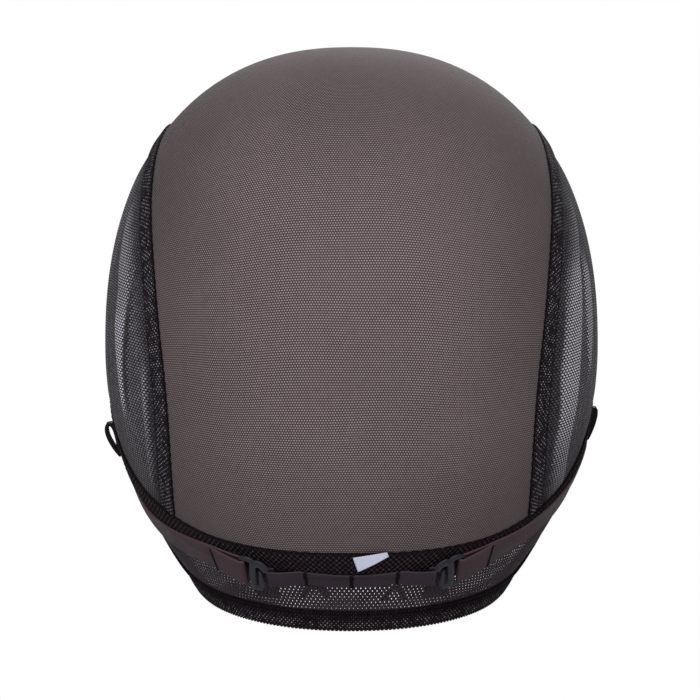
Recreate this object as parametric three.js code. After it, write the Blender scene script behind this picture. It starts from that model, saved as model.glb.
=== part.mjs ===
// Lace wig cap in its worn shape: net panels stretched over a head form, sewn together with tapes,
// bound along the rim, and drawn in at the nape by two ribbon straps with hooks.
// Millimetres, +Z up. The wearer faces +Y, so the back of the cap faces -Y and +X is the wearer's right.
// Heights count from the widest level of the head. The whole cap is lowered at the end, so that the
// origin lies at the top of the hollow, where the head seats.

import * as THREE from 'three';

// Head form
const HALF_WIDTH = 77.5;
const HALF_LENGTH = 95;
const CROWN_HEIGHT = 94.5;
const CROWN_POWER = 2.3; // 2 is an ellipse, more is squarer
const PLAN_POWER = 2.1;
const LOWER_DEPTH = 94; // depth at which the ellipse below the widest level would close
const NAPE_SHARE = 0.64; // the oval at the nape against the widest one
const NAPE_BLEND = 0.06; // how softly the head runs into the nape
const FORM_REACH = 200; // longer than any ray from the middle of the head to its surface
const FORM_STEPS = 40; // halvings of that reach

// Cloth, and the layers that lie on each other
const CLOTH = 1;
const TAPE_WALL = 1;
const HEM_WALL = 2.3;
const CLEAR = 0.3;
const SEAM_GAP = 0.2; // from a seam's line to each cloth edge
const HEM_GAP = 0.6; // height between the hem and the cloth that ends above it
const TAPE_LIFT = CLOTH + CLEAR;
const OVER_TAPE_LIFT = TAPE_LIFT + TAPE_WALL + CLEAR;

// Rim of the cap: the lower edge of the hem, from the back centre (0) round to the brow (180). The
// first and last rows repeat the other half, so that the line is level at both centres.
const RIM = [
  { azimuth: -30, height: -80 },
  { azimuth: 0, height: -81 },
  { azimuth: 30, height: -80 },
  { azimuth: 60, height: -77 },
  { azimuth: 76, height: -73 },
  { azimuth: 88, height: -60 },
  { azimuth: 98, height: -43 },
  { azimuth: 110, height: -25 },
  { azimuth: 121, height: -22 },
  { azimuth: 133, height: -26 },
  { azimuth: 145, height: -12 },
  { azimuth: 161, height: 16 },
  { azimuth: 180, height: 27 },
  { azimuth: 199, height: 16 },
];
const HEM_RISE = 6.6;
const HEM_COLUMNS = 120;
const HEM_ROWS = 2;

// Nape tape: the middle of the tape that joins the crown and side panels to the nape net
const NAPE_LINE = [
  { azimuth: -15, height: -56.2 },
  { azimuth: 0, height: -56.4 },
  { azimuth: 15, height: -56.2 },
  { azimuth: 26, height: -55.2 },
  { azimuth: 35, height: -53.4 },
  { azimuth: 45, height: -50 },
  { azimuth: 60, height: -43 },
  { azimuth: 75, height: -32.5 },
  { azimuth: 90, height: -19 },
  { azimuth: 106, height: -11.5 },
];
const NAPE_TAPE_WIDTH = 7;
const NAPE_TAPE_END = 106;
const NAPE_NET_END = 105.8;
const NAPE_NET_COLUMNS = 56;
const NAPE_NET_ROWS = 4;

// Crown seams: half width of the crown panel, by the pitch of a half plane that turns about
// the ear-to-ear axis (0 is up, 90 is straight back, -90 is straight forward)
const SEAM = [
  { pitch: -125, reach: 53 },
  { pitch: -100, reach: 55 },
  { pitch: -60, reach: 57 },
  { pitch: 0, reach: 59.5 },
  { pitch: 22, reach: 62 },
  { pitch: 45, reach: 63 },
  { pitch: 75, reach: 60.5 },
  { pitch: 100, reach: 57 },
  { pitch: 130, reach: 55.5 },
];
const SEAM_TAPE_WIDTH = 7;
const SEAM_TAPE_START = 6.4; // clear of the slanting edge of the nape tape
const SEAM_TAPE_END = 3; // short of the brow hem, which slants too
const SEAM_TAPE_STEPS = 44;
const CROWN_COLUMNS = 40;
const CROWN_ROWS = 20;
const NAPE_PITCHES = [60, 150]; // the panel ends between these two, at the nape and at the brow
const BROW_PITCHES = [-30, -150];

// Side panels
const SIDE_BACK_COLUMNS = 20;
const SIDE_FRONT_COLUMNS = 10;
const SIDE_ROWS = 8;
const SIDE_CORNER_PITCH = 1; // how far the panel's corners stay from the ends of the seam
const SIDE_CORNER_AZIMUTH = 0.6;
const EAR_STEP = 0.4; // azimuth in which the panel's edge steps from the nape tape down to the hem

// Gathers of the side panels: where along the panel's length they lie, from the nape corner (0) to
// the brow corner (1), how high they stand, and how wide they are
const GATHERS = [
  { place: 0.1, height: 1.1, spread: 0.02 },
  { place: 0.17, height: 1.6, spread: 0.026 },
  { place: 0.25, height: 1.3, spread: 0.022 },
  { place: 0.33, height: 1.7, spread: 0.03 },
  { place: 0.43, height: 1.2, spread: 0.03 },
  { place: 0.56, height: 1, spread: 0.035 },
];
const GATHER_FADE = 3; // how sharply the gathers end at the panel's sewn edges

// Strap line: one line along both straps and the loop tape, left (-) to right (+)
const STRAP_LINE = [
  { azimuth: -99, height: -19 },
  { azimuth: -88, height: -33.5 },
  { azimuth: -76, height: -43 },
  { azimuth: -62, height: -50.5 },
  { azimuth: -51, height: -54 },
  { azimuth: -42, height: -55.6 },
  { azimuth: -34, height: -57 },
  { azimuth: -28, height: -58.6 },
  { azimuth: -22, height: -60.1 },
  { azimuth: -16, height: -60.8 },
  { azimuth: 0, height: -62.2 },
  { azimuth: 16, height: -60.6 },
  { azimuth: 22, height: -59.6 },
  { azimuth: 28, height: -57.8 },
  { azimuth: 34, height: -55.9 },
  { azimuth: 44, height: -53 },
  { azimuth: 51, height: -50 },
  { azimuth: 62, height: -45 },
  { azimuth: 76, height: -38.5 },
  { azimuth: 88, height: -30.5 },
  { azimuth: 99, height: -18 },
];
const STRAP_LINE_END = 99;
const STRAP_END = { left: -88, right: 89 };
const STRAP_WIDTH = 8.4;
const STRAP_WALL = 0.9;
const STRAP_STEP = 4;
const STRAP_TAIL = 11.5; // length of the folded end, from the hook's bar to its tack
const STRAP_LIFT = OVER_TAPE_LIFT + STRAP_WALL / 2;
const TAIL_RAMP = [1, 9]; // distances from the bar between which the folded end comes down
const FOLD_STEPS = 8;

// Loop tape
const LOOP_TAPE_WIDTH = 4.6;
const LOOP_TAPE_WALL = 0.7;
const LOOP_TACK_PITCH = 13.6;
const LOOP_RISE = 0.9; // how far the tape bows out between two tacks
const LOOP_STEPS = 6;
const LOOP_RETURN = 5; // length of the folded end behind the tape

// Hooks: distances outwards (to the ear) from the hook's middle, and up
const HOOK_AZIMUTH = 22.3;
const HOOK_HALF_LENGTH = 4.7;
const HOOK_HALF_HEIGHT = 6.2;
const HOOK_WALL = 1.2;
const HOOK_BAR = 1.1; // the bars that the strap and the tape fold round
const HOOK_ARM = 1.2;
const HOOK_MID_BAR = { inner: -0.6, outer: 1.4 };
const HOOK_CLAW = { shoulder: 3, start: -1.5, inside: 2.6 };
const HOOK_MOUTH = { top: -3.3, bottom: -4.6, foot: -3.2 };
const HOOK_CORNER = 0.8;
const HOOK_CLEAR = 0.4;
const HOOK_LIFT = OVER_TAPE_LIFT + STRAP_WALL + HOOK_CLEAR;
const HOOK_MIDDLE = HOOK_LIFT + HOOK_WALL / 2;
const CORNER_SEGMENTS = 4;

// Loops at the upper ends of the straps, seen standing off the ears
const EAR_LOOP_WIDTH = 6;
const EAR_LOOP_LENGTH = 10;
const EAR_LOOP_WALL = 0.8;
const EAR_LOOP_HEIGHT = { left: 3.3, right: 2.6 };
const EAR_LOOP_SEGMENTS = 24;

// Blank label under the nape tape: its corners along and across that tape
const LABEL_CORNERS = [
  { along: 0.4, across: 3.2 },
  { along: 1.9, across: -1.6 },
  { along: 10.5, across: 3.6 },
  { along: 9.9, across: 4.9 },
];
const LABEL_WALL = 0.8;
const LABEL_CURL = 0.22; // how far it lifts off for each millimetre below its sewn edge

// Lines on the form
const TRACK_SAMPLES = 600;

const SIDES = [[-1, 'left'], [1, 'right']];

const MATERIALS = {
  crownNet: new THREE.MeshStandardMaterial({ color: 0x6b5f61, roughness: 0.75 }),
  sheerNet: new THREE.MeshStandardMaterial({ color: 0x3c3a3f, roughness: 0.7 }),
  blackTape: new THREE.MeshStandardMaterial({ color: 0x18151a, roughness: 0.8 }),
  ribbon: new THREE.MeshStandardMaterial({ color: 0x40353a, roughness: 0.45 }),
  loopTape: new THREE.MeshStandardMaterial({ color: 0x2e272c, roughness: 0.55 }),
  hookPlastic: new THREE.MeshStandardMaterial({ color: 0x222328, roughness: 0.35 }),
  label: new THREE.MeshStandardMaterial({ color: 0xc4cada, roughness: 0.6 }),
};

/** A value read from a table by a smooth curve through its rows. */
function readTable(rows, column, value, at) {
  const last = rows.length - 1;
  const next = rows.findIndex((row) => row[column] >= at);
  const k = THREE.MathUtils.clamp((next < 0 ? last : next) - 1, 0, last - 1);
  const slope = (i) => {
    const a = rows[Math.max(i - 1, 0)];
    const b = rows[Math.min(i + 1, last)];
    return (b[value] - a[value]) / (b[column] - a[column]);
  };
  const span = rows[k + 1][column] - rows[k][column];
  const t = THREE.MathUtils.clamp((at - rows[k][column]) / span, 0, 1);
  const rise = rows[k + 1][value] - rows[k][value];
  const bend = (slope(k) * span - rise) * (1 - t) + (rise - slope(k + 1) * span) * t;
  return rows[k][value] + rise * t + bend * t * (1 - t);
}

const rimHeight = (azimuth) => readTable(RIM, 'azimuth', 'height', Math.abs(azimuth));
const hemTop = (azimuth) => rimHeight(azimuth) + HEM_RISE;
const napeHeight = (azimuth) => readTable(NAPE_LINE, 'azimuth', 'height', Math.abs(azimuth));
const strapHeight = (azimuth) => readTable(STRAP_LINE, 'azimuth', 'height', azimuth);
const seamReach = (pitch) => readTable(SEAM, 'pitch', 'reach', pitch);

/** Size of the head's oval at a height, as a share of its widest one. */
function ovalShare(height) {
  if (height >= 0) {
    const left = 1 - Math.min(height / CROWN_HEIGHT, 1) ** CROWN_POWER;
    return left ** (1 / CROWN_POWER);
  }
  const softMax = (share) => (share + NAPE_SHARE + Math.hypot(share - NAPE_SHARE, NAPE_BLEND)) / 2;
  const ellipse = Math.sqrt(Math.max(1 - (height / LOWER_DEPTH) ** 2, 0));
  return softMax(ellipse) / softMax(1);
}

/** Distance from the head's axis in widest ovals: 1 on the widest oval. */
function ovalDistance(x, y) {
  const across = Math.abs(x / HALF_WIDTH) ** PLAN_POWER;
  const along = Math.abs(y / HALF_LENGTH) ** PLAN_POWER;
  return (across + along) ** (1 / PLAN_POWER);
}

/** How far outside the head form a point is: below zero inside it. */
function formExcess(point) {
  return ovalDistance(point.x, point.y) - ovalShare(point.z);
}

/** The point of the head form at an azimuth (0 is the back) and a height. */
function formPoint(azimuth, height) {
  const angle = THREE.MathUtils.degToRad(azimuth);
  const x = Math.sin(angle);
  const y = -Math.cos(angle);
  const radius = ovalShare(height) / ovalDistance(x, y);
  return new THREE.Vector3(x * radius, y * radius, height);
}

/** Where a ray from inside the head form meets its surface. */
function castToForm(start, direction) {
  const ray = direction.clone().normalize();
  let near = 0;
  let far = FORM_REACH;
  for (let i = 0; i < FORM_STEPS; i += 1) {
    const middle = (near + far) / 2;
    const inside = formExcess(start.clone().addScaledVector(ray, middle)) < 0;
    near = inside ? middle : near;
    far = inside ? far : middle;
  }
  return start.clone().addScaledVector(ray, near);
}

/** The outward normal of the head form, from the slope of formExcess. */
function formNormal(point) {
  const step = 0.01;
  const slope = (axis) => {
    const ahead = point.clone();
    const behind = point.clone();
    ahead[axis] += step;
    behind[axis] -= step;
    return formExcess(ahead) - formExcess(behind);
  };
  if (point.z > CROWN_HEIGHT - 2 * step) return new THREE.Vector3(0, 0, 1);
  return new THREE.Vector3(slope('x'), slope('y'), slope('z')).normalize();
}

const azimuthOf = (point) => THREE.MathUtils.radToDeg(Math.atan2(point.x, -point.y));

/** The point of the head form at a distance from the middle plane and a pitch. */
function pitchPoint(x, pitch) {
  const angle = THREE.MathUtils.degToRad(pitch);
  const direction = new THREE.Vector3(0, -Math.sin(angle), Math.cos(angle));
  return castToForm(new THREE.Vector3(x, 0, 0), direction);
}

/** The point on the crown seam, side -1 (left) or 1 (right), moved out from the seam's line. */
const seamPoint = (side, pitch, out) => pitchPoint(side * (seamReach(pitch) + out), pitch);

/** A geometry whose faces point outwards, by the sign of its volume. */
function facedOutwards(geometry) {
  const place = geometry.getAttribute('position');
  const index = geometry.getIndex();
  const corner = (i) => new THREE.Vector3().fromBufferAttribute(place, index.getX(i));
  let volume = 0;
  for (let i = 0; i < index.count; i += 3) {
    volume += corner(i).dot(corner(i + 1).cross(corner(i + 2)));
  }
  if (volume < 0) index.array.reverse();
  geometry.computeVertexNormals();
  return geometry;
}

/**
 * A closed wall of two layers, each a grid of columns and rows, joined round its edges.
 * cornerAt gives the place of a grid point on the outer (0) or inner (1) layer. A ring's last column
 * meets its first.
 */
function wall({ cornerAt, columns, rows, ring = false }) {
  const places = [];
  const columnCount = ring ? columns : columns + 1;
  for (const layer of [0, 1]) {
    for (let i = 0; i < columnCount; i += 1) {
      for (let j = 0; j <= rows; j += 1) places.push(...cornerAt(layer, i, j).toArray());
    }
  }
  const layerSize = columnCount * (rows + 1);
  const at = (i, j) => (i % columnCount) * (rows + 1) + j;
  const under = (i, j) => layerSize + at(i, j);
  const faces = [];
  const quad = (a, b, c, d) => faces.push(a, b, c, a, c, d);
  for (let i = 0; i < columns; i += 1) {
    for (let j = 0; j < rows; j += 1) {
      quad(at(i, j), at(i + 1, j), at(i + 1, j + 1), at(i, j + 1));
      quad(under(i, j), under(i, j + 1), under(i + 1, j + 1), under(i + 1, j));
    }
    quad(at(i, 0), under(i, 0), under(i + 1, 0), at(i + 1, 0));
    quad(at(i, rows), at(i + 1, rows), under(i + 1, rows), under(i, rows));
  }
  for (let j = 0; j < rows && !ring; j += 1) {
    quad(at(0, j), at(0, j + 1), under(0, j + 1), under(0, j));
    quad(at(columns, j), under(columns, j), under(columns, j + 1), at(columns, j + 1));
  }
  const geometry = new THREE.BufferGeometry();
  geometry.setAttribute('position', new THREE.Float32BufferAttribute(places, 3));
  geometry.setIndex(faces);
  return facedOutwards(geometry);
}

/** A cloth wall from a grid of points on the form, between two distances off it. */
function clothWall({ pointAt, liftAt = () => 0, columns, rows, inner, outer, ring }) {
  const cornerAt = (layer, i, j) => {
    const point = pointAt(i / columns, j / rows);
    const lift = (layer === 0 ? outer : inner) + liftAt(i / columns, j / rows);
    return point.addScaledVector(formNormal(point), lift);
  };
  return wall({ cornerAt, columns, rows, ring });
}

/** A line on the form, measured along its length from the point nearest to a zero share. */
class Track {
  constructor(pointAt, zeroShare) {
    this.points = [];
    this.lengths = [0];
    for (let i = 0; i <= TRACK_SAMPLES; i += 1) {
      this.points.push(pointAt(i / TRACK_SAMPLES));
      if (i > 0) this.lengths.push(this.lengths[i - 1] + this.points[i].distanceTo(this.points[i - 1]));
    }
    const zero = this.lengths[Math.round(zeroShare * TRACK_SAMPLES)];
    this.lengths = this.lengths.map((length) => length - zero);
  }

  /** Distance along the line at a share of its samples. */
  alongAt(share) {
    return this.lengths[Math.round(share * TRACK_SAMPLES)];
  }

  /** A point beside the line: along it, across it (to the left of its way), and off the form. */
  place(along, across, lift) {
    const next = this.lengths.findIndex((length) => length >= along);
    const k = THREE.MathUtils.clamp((next < 0 ? TRACK_SAMPLES : next) - 1, 0, TRACK_SAMPLES - 1);
    const tangent = this.points[k + 1].clone().sub(this.points[k]).normalize();
    const point = this.points[k].clone().addScaledVector(tangent, along - this.lengths[k]);
    const normal = formNormal(point);
    const side = normal.clone().cross(tangent).normalize();
    return point.addScaledVector(side, across).addScaledVector(normal, lift);
  }
}

/** An extruded outline bent onto a track by a rule that turns its x, y, z into along, across, lift. */
function bentOnto(track, outline, depth, rule) {
  const flat = new THREE.ExtrudeGeometry(outline, {
    depth,
    bevelEnabled: false,
    steps: 1,
    curveSegments: CORNER_SEGMENTS,
  });
  const place = flat.getAttribute('position');
  for (let i = 0; i < place.count; i += 1) {
    const { along, across, lift } = rule(place.getX(i), place.getY(i), place.getZ(i));
    const point = track.place(along, across, lift);
    place.setXYZ(i, point.x, point.y, point.z);
  }
  flat.setIndex([...Array(place.count).keys()]);
  return facedOutwards(flat);
}

/** A flat band along a track, from its line of (along, lift) points. A ring's line closes on itself. */
function band(track, line, thickness, width, ring = false) {
  const count = line.length;
  const neighbour = (i) => line[ring ? (i + count) % count : THREE.MathUtils.clamp(i, 0, count - 1)];
  const cornerAt = (layer, i, j) => {
    const way = neighbour(i + 1).clone().sub(neighbour(i - 1)).normalize();
    const half = (layer === 0 ? thickness : -thickness) / 2;
    const across = (j - 1 / 2) * width;
    return track.place(line[i].x - way.y * half, across, line[i].y + way.x * half);
  };
  return wall({ cornerAt, columns: ring ? count : count - 1, rows: 1, ring });
}

/** Points at one lift between two places along a track. */
function levelLine(from, to, steps, lift) {
  return Array.from({ length: steps + 1 }, (_, i) => (
    new THREE.Vector2(THREE.MathUtils.lerp(from, to, i / steps), lift)
  ));
}

/** Points of a half turn from below a bar to above it, or back, round its inward side. */
function halfTurn(middle, radius, facing) {
  return Array.from({ length: FOLD_STEPS + 1 }, (_, i) => {
    const angle = (Math.PI * i) / FOLD_STEPS - Math.PI / 2;
    const x = middle + facing * radius * Math.cos(angle);
    return new THREE.Vector2(x, HOOK_MIDDLE + radius * Math.sin(angle));
  });
}

const cap = new THREE.Group();

function addPiece(name, geometry, material) {
  const mesh = new THREE.Mesh(geometry, material);
  mesh.name = name;
  cap.add(mesh);
}

/** Pitch at which a crown line, at a share of the seam's reach, comes down to a height line. */
function pitchDownTo(share, pitches, heightAt) {
  let [near, far] = pitches;
  for (let i = 0; i < FORM_STEPS; i += 1) {
    const middle = (near + far) / 2;
    const point = pitchPoint(share * seamReach(middle), middle);
    const above = point.z > heightAt(azimuthOf(point));
    near = above ? middle : near;
    far = above ? far : middle;
  }
  return near;
}

const crownFoot = (azimuth) => napeHeight(azimuth) + SEAM_GAP;
const clothFoot = (azimuth) => hemTop(azimuth) + HEM_GAP;
const napePitch = (share) => pitchDownTo(share, NAPE_PITCHES, crownFoot);
const browPitch = (share) => pitchDownTo(share, BROW_PITCHES, clothFoot);

// Crown panel
const crownRow = (share) => ({ brow: browPitch(share), nape: napePitch(share) });
const crownRows = Array.from({ length: CROWN_ROWS + 1 }, (_, j) => crownRow((2 * j) / CROWN_ROWS - 1));
addPiece('crown_panel', clothWall({
  pointAt: (u, v) => {
    const { brow, nape } = crownRows[Math.round(v * CROWN_ROWS)];
    const pitch = THREE.MathUtils.lerp(brow, nape, u);
    return pitchPoint((2 * v - 1) * (seamReach(pitch) - SEAM_GAP), pitch);
  },
  columns: CROWN_COLUMNS,
  rows: CROWN_ROWS,
  inner: 0,
  outer: CLOTH,
}), MATERIALS.crownNet);

// Side panels
const seamEnds = crownRow(1);
const browCorner = azimuthOf(seamPoint(1, seamEnds.brow, 0)) - SIDE_CORNER_AZIMUTH;
const napeCorner = azimuthOf(seamPoint(1, seamEnds.nape, 0)) + SIDE_CORNER_AZIMUTH;
const sideColumns = SIDE_BACK_COLUMNS + SIDE_FRONT_COLUMNS;

/** The lower edge of a side panel: along the nape tape to the ear, then along the hem to the brow. */
function sideFoot(side, u) {
  const column = Math.round(u * sideColumns);
  if (column <= SIDE_BACK_COLUMNS) {
    const azimuth = THREE.MathUtils.lerp(napeCorner, NAPE_TAPE_END, column / SIDE_BACK_COLUMNS);
    return formPoint(side * azimuth, crownFoot(azimuth));
  }
  const share = (column - SIDE_BACK_COLUMNS - 1) / (SIDE_FRONT_COLUMNS - 1);
  const azimuth = THREE.MathUtils.lerp(NAPE_TAPE_END + EAR_STEP, browCorner, share);
  return formPoint(side * azimuth, clothFoot(azimuth));
}

/** A point of a side panel: u from the nape corner to the brow, v from the seam to the lower edge. */
function sidePoint(side, u, v) {
  const from = seamEnds.nape - SIDE_CORNER_PITCH;
  const to = seamEnds.brow + SIDE_CORNER_PITCH;
  const top = seamPoint(side, THREE.MathUtils.lerp(from, to, u), SEAM_GAP);
  if (v === 0) return top;
  const foot = sideFoot(side, u);
  if (v === 1) return foot;
  return castToForm(new THREE.Vector3(), top.lerp(foot, v));
}

/** How far a side panel's gathers stand off the form: nothing at its sewn edges. */
function gatherLift(u, v) {
  const fade = Math.sin(Math.PI * v) ** GATHER_FADE;
  const ridge = ({ place, height, spread }) => height * Math.exp(-(((u - place) / spread) ** 2));
  return fade * GATHERS.reduce((sum, gather) => sum + ridge(gather), 0);
}

/** A crown seam as a track from the nape to the brow. */
function seamTrack(side) {
  return new Track((share) => (
    seamPoint(side, THREE.MathUtils.lerp(seamEnds.nape, seamEnds.brow, share), 0)
  ), 0);
}

for (const [side, word] of SIDES) {
  addPiece(`side_mesh_${word}`, clothWall({
    pointAt: (u, v) => sidePoint(side, u, v),
    liftAt: gatherLift,
    columns: sideColumns,
    rows: SIDE_ROWS,
    inner: 0,
    outer: CLOTH,
  }), MATERIALS.sheerNet);
  const track = seamTrack(side);
  const line = levelLine(
    SEAM_TAPE_START,
    track.alongAt(1) - SEAM_TAPE_END,
    SEAM_TAPE_STEPS,
    TAPE_LIFT + TAPE_WALL / 2,
  );
  addPiece(`seam_tape_${word}`, band(track, line, TAPE_WALL, SEAM_TAPE_WIDTH), MATERIALS.blackTape);
}

// Nape tape and nape net
const napeTrack = new Track((share) => {
  const azimuth = THREE.MathUtils.lerp(-NAPE_TAPE_END, NAPE_TAPE_END, share);
  return formPoint(azimuth, napeHeight(azimuth));
}, 1 / 2);
const napeTapeLine = levelLine(
  napeTrack.alongAt(0),
  napeTrack.alongAt(1),
  NAPE_NET_COLUMNS,
  TAPE_LIFT + TAPE_WALL / 2,
);
addPiece('nape_tape', band(napeTrack, napeTapeLine, TAPE_WALL, NAPE_TAPE_WIDTH), MATERIALS.blackTape);
addPiece('nape_mesh', clothWall({
  pointAt: (u, v) => {
    const azimuth = THREE.MathUtils.lerp(-NAPE_NET_END, NAPE_NET_END, u);
    const top = napeHeight(azimuth) - SEAM_GAP;
    return formPoint(azimuth, THREE.MathUtils.lerp(top, clothFoot(azimuth), v));
  },
  columns: NAPE_NET_COLUMNS,
  rows: NAPE_NET_ROWS,
  inner: 0,
  outer: CLOTH,
}), MATERIALS.sheerNet);

// Hem all round the rim
addPiece('hem_binding', clothWall({
  pointAt: (u, v) => {
    const azimuth = THREE.MathUtils.lerp(-180, 180, u);
    return formPoint(azimuth, rimHeight(azimuth) + v * HEM_RISE);
  },
  columns: HEM_COLUMNS,
  rows: HEM_ROWS,
  inner: 0,
  outer: HEM_WALL,
  ring: true,
}), MATERIALS.blackTape);

// Strap line: the straps, their hooks, and the loop tape between the hooks
const strapShare = (azimuth) => (azimuth + STRAP_LINE_END) / (2 * STRAP_LINE_END);
const strapTrack = new Track((share) => {
  const azimuth = THREE.MathUtils.lerp(-STRAP_LINE_END, STRAP_LINE_END, share);
  return formPoint(azimuth, strapHeight(azimuth));
}, 1 / 2);
const strapPlace = (azimuth) => strapTrack.alongAt(strapShare(azimuth));
const hookPlace = (side) => strapPlace(side * HOOK_AZIMUTH);
const BAR_MIDDLE = HOOK_HALF_LENGTH - HOOK_BAR / 2;

/** A hook's outline in distances outwards from its middle, and up. */
function hookOutline() {
  const long = HOOK_HALF_LENGTH;
  const high = HOOK_HALF_HEIGHT;
  const shape = new THREE.Shape();
  shape.moveTo(long - HOOK_CORNER, -high);
  shape.quadraticCurveTo(long, -high, long, HOOK_CORNER - high);
  shape.lineTo(long, high - HOOK_CORNER);
  shape.quadraticCurveTo(long, high, long - HOOK_CORNER, high);
  shape.lineTo(HOOK_CLAW.start, high);
  shape.quadraticCurveTo(-long, high, -long, HOOK_CLAW.shoulder);
  shape.lineTo(-long, HOOK_MOUTH.top);
  shape.lineTo(HOOK_BAR - long, HOOK_MOUTH.top);
  shape.lineTo(HOOK_BAR - long, HOOK_CLAW.inside);
  shape.quadraticCurveTo(HOOK_BAR - long, high - HOOK_ARM, HOOK_MID_BAR.inner, high - HOOK_ARM);
  shape.lineTo(HOOK_MID_BAR.inner, HOOK_MOUTH.bottom);
  shape.lineTo(HOOK_MOUTH.foot, HOOK_MOUTH.bottom);
  shape.lineTo(HOOK_MOUTH.foot, -high);
  const slot = new THREE.Path();
  slot.moveTo(HOOK_MID_BAR.outer, HOOK_ARM - high);
  slot.lineTo(HOOK_MID_BAR.outer, high - HOOK_ARM);
  slot.lineTo(long - HOOK_BAR, high - HOOK_ARM);
  slot.lineTo(long - HOOK_BAR, HOOK_ARM - high);
  shape.holes.push(slot);
  return shape;
}

/** A strap's line, from its ear end to the hook, round the hook's bar and back to the tack. */
function strapLine(side, end) {
  const bar = hookPlace(side) + side * BAR_MIDDLE;
  const steps = Math.round(Math.abs(end - bar) / STRAP_STEP);
  const under = levelLine(end, bar, steps, STRAP_LIFT);
  const turn = halfTurn(bar, HOOK_MIDDLE - STRAP_LIFT, -side).slice(1, -1);
  const over = levelLine(bar, bar + side * STRAP_TAIL, FOLD_STEPS, 2 * HOOK_MIDDLE - STRAP_LIFT);
  for (const point of over) {
    const settle = THREE.MathUtils.smoothstep(Math.abs(point.x - bar), ...TAIL_RAMP);
    point.y = THREE.MathUtils.lerp(point.y, STRAP_LIFT + STRAP_WALL + CLEAR, settle);
  }
  return [...under, ...turn, ...over];
}

/** A small ribbon loop that stands on the cloth just past the upper end of a strap. */
function earLoop(side, strapEnd, height) {
  const middle = strapEnd + side * (CLEAR + EAR_LOOP_LENGTH / 2);
  const line = Array.from({ length: EAR_LOOP_SEGMENTS }, (_, i) => {
    const angle = (2 * Math.PI * i) / EAR_LOOP_SEGMENTS;
    const along = middle + ((EAR_LOOP_LENGTH - EAR_LOOP_WALL) / 2) * Math.cos(angle);
    const lift = TAPE_LIFT + height / 2 + ((height - EAR_LOOP_WALL) / 2) * Math.sin(angle);
    return new THREE.Vector2(along, lift);
  });
  return band(strapTrack, line, EAR_LOOP_WALL, EAR_LOOP_WIDTH, true);
}

for (const [side, word] of SIDES) {
  const hook = bentOnto(strapTrack, hookOutline(), HOOK_WALL, (x, y, z) => ({
    along: hookPlace(side) + side * x,
    across: y,
    lift: HOOK_LIFT + z,
  }));
  addPiece(`hook_${word}`, hook, MATERIALS.hookPlastic);
  const end = strapPlace(STRAP_END[word]);
  const strap = band(strapTrack, strapLine(side, end), STRAP_WALL, STRAP_WIDTH);
  addPiece(`strap_${word}`, strap, MATERIALS.ribbon);
  addPiece(`ear_loop_${word}`, earLoop(side, end, EAR_LOOP_HEIGHT[word]), MATERIALS.blackTape);
}

/** The loop tape's line: folded round one hook, sewn down at each tack, and folded round the other. */
function loopTapeLine() {
  const low = TAPE_LIFT + LOOP_TAPE_WALL / 2;
  const radius = HOOK_WALL / 2 + CLEAR + LOOP_TAPE_WALL;
  const barAt = (side) => hookPlace(side) - side * BAR_MIDDLE;
  const back = (side) => levelLine(
    barAt(side) - side * LOOP_RETURN,
    barAt(side),
    FOLD_STEPS / 2,
    HOOK_MIDDLE - radius,
  );
  const tacks = [-1, 0, 1].map((k) => k * LOOP_TACK_PITCH);
  const stops = [
    { along: barAt(-1), lift: HOOK_MIDDLE + radius },
    ...tacks.map((along) => ({ along, lift: low })),
    { along: barAt(1), lift: HOOK_MIDDLE + radius },
  ];
  const top = [];
  for (let k = 0; k + 1 < stops.length; k += 1) {
    for (let i = k === 0 ? 0 : 1; i <= LOOP_STEPS; i += 1) {
      const t = i / LOOP_STEPS;
      const bow = LOOP_RISE * Math.sin(Math.PI * t) ** 2;
      const ease = THREE.MathUtils.smoothstep(t, 0, 1);
      top.push(new THREE.Vector2(
        THREE.MathUtils.lerp(stops[k].along, stops[k + 1].along, t),
        THREE.MathUtils.lerp(stops[k].lift, stops[k + 1].lift, ease) + bow,
      ));
    }
  }
  const leftTurn = halfTurn(barAt(-1), radius, -1).slice(1, -1);
  const rightTurn = halfTurn(barAt(1), radius, 1).slice(1, -1).reverse();
  return [...back(-1), ...leftTurn, ...top, ...rightTurn, ...back(1).reverse()];
}

addPiece('loop_tape', band(strapTrack, loopTapeLine(), LOOP_TAPE_WALL, LOOP_TAPE_WIDTH), MATERIALS.loopTape);

// Label, sewn in along its upper edge and curling off below it
const labelOutline = new THREE.Shape(LABEL_CORNERS.map(({ along, across }) => (
  new THREE.Vector2(along, across)
)));
const labelTop = LABEL_CORNERS.at(-1).across;
addPiece('size_label', bentOnto(napeTrack, labelOutline, LABEL_WALL, (x, y, z) => ({
  along: x,
  across: y,
  lift: OVER_TAPE_LIFT + z + LABEL_CURL * (labelTop - y),
})), MATERIALS.label);

cap.position.z = -CROWN_HEIGHT;

export default cap;
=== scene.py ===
"""Dresses the lace wig cap: net panels, knitted tapes, ribbon straps, hooks and their stitching.

The crown and side nets are thin walls whose gaps are painted light, standing for light seen through them. The
nape net and the hem's open edge are threads.
Shapes are worked out in millimetres on the cap's smooth form, with heights counted from its widest level.
They become metres, with the origin at the top of the hollow, when a mesh is made.
"""

import logging
import math
from collections.abc import Callable, Sequence
from dataclasses import asdict, dataclass, field
from enum import Enum

import bpy
import numpy as np
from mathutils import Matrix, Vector
from numpy.typing import NDArray


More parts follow.
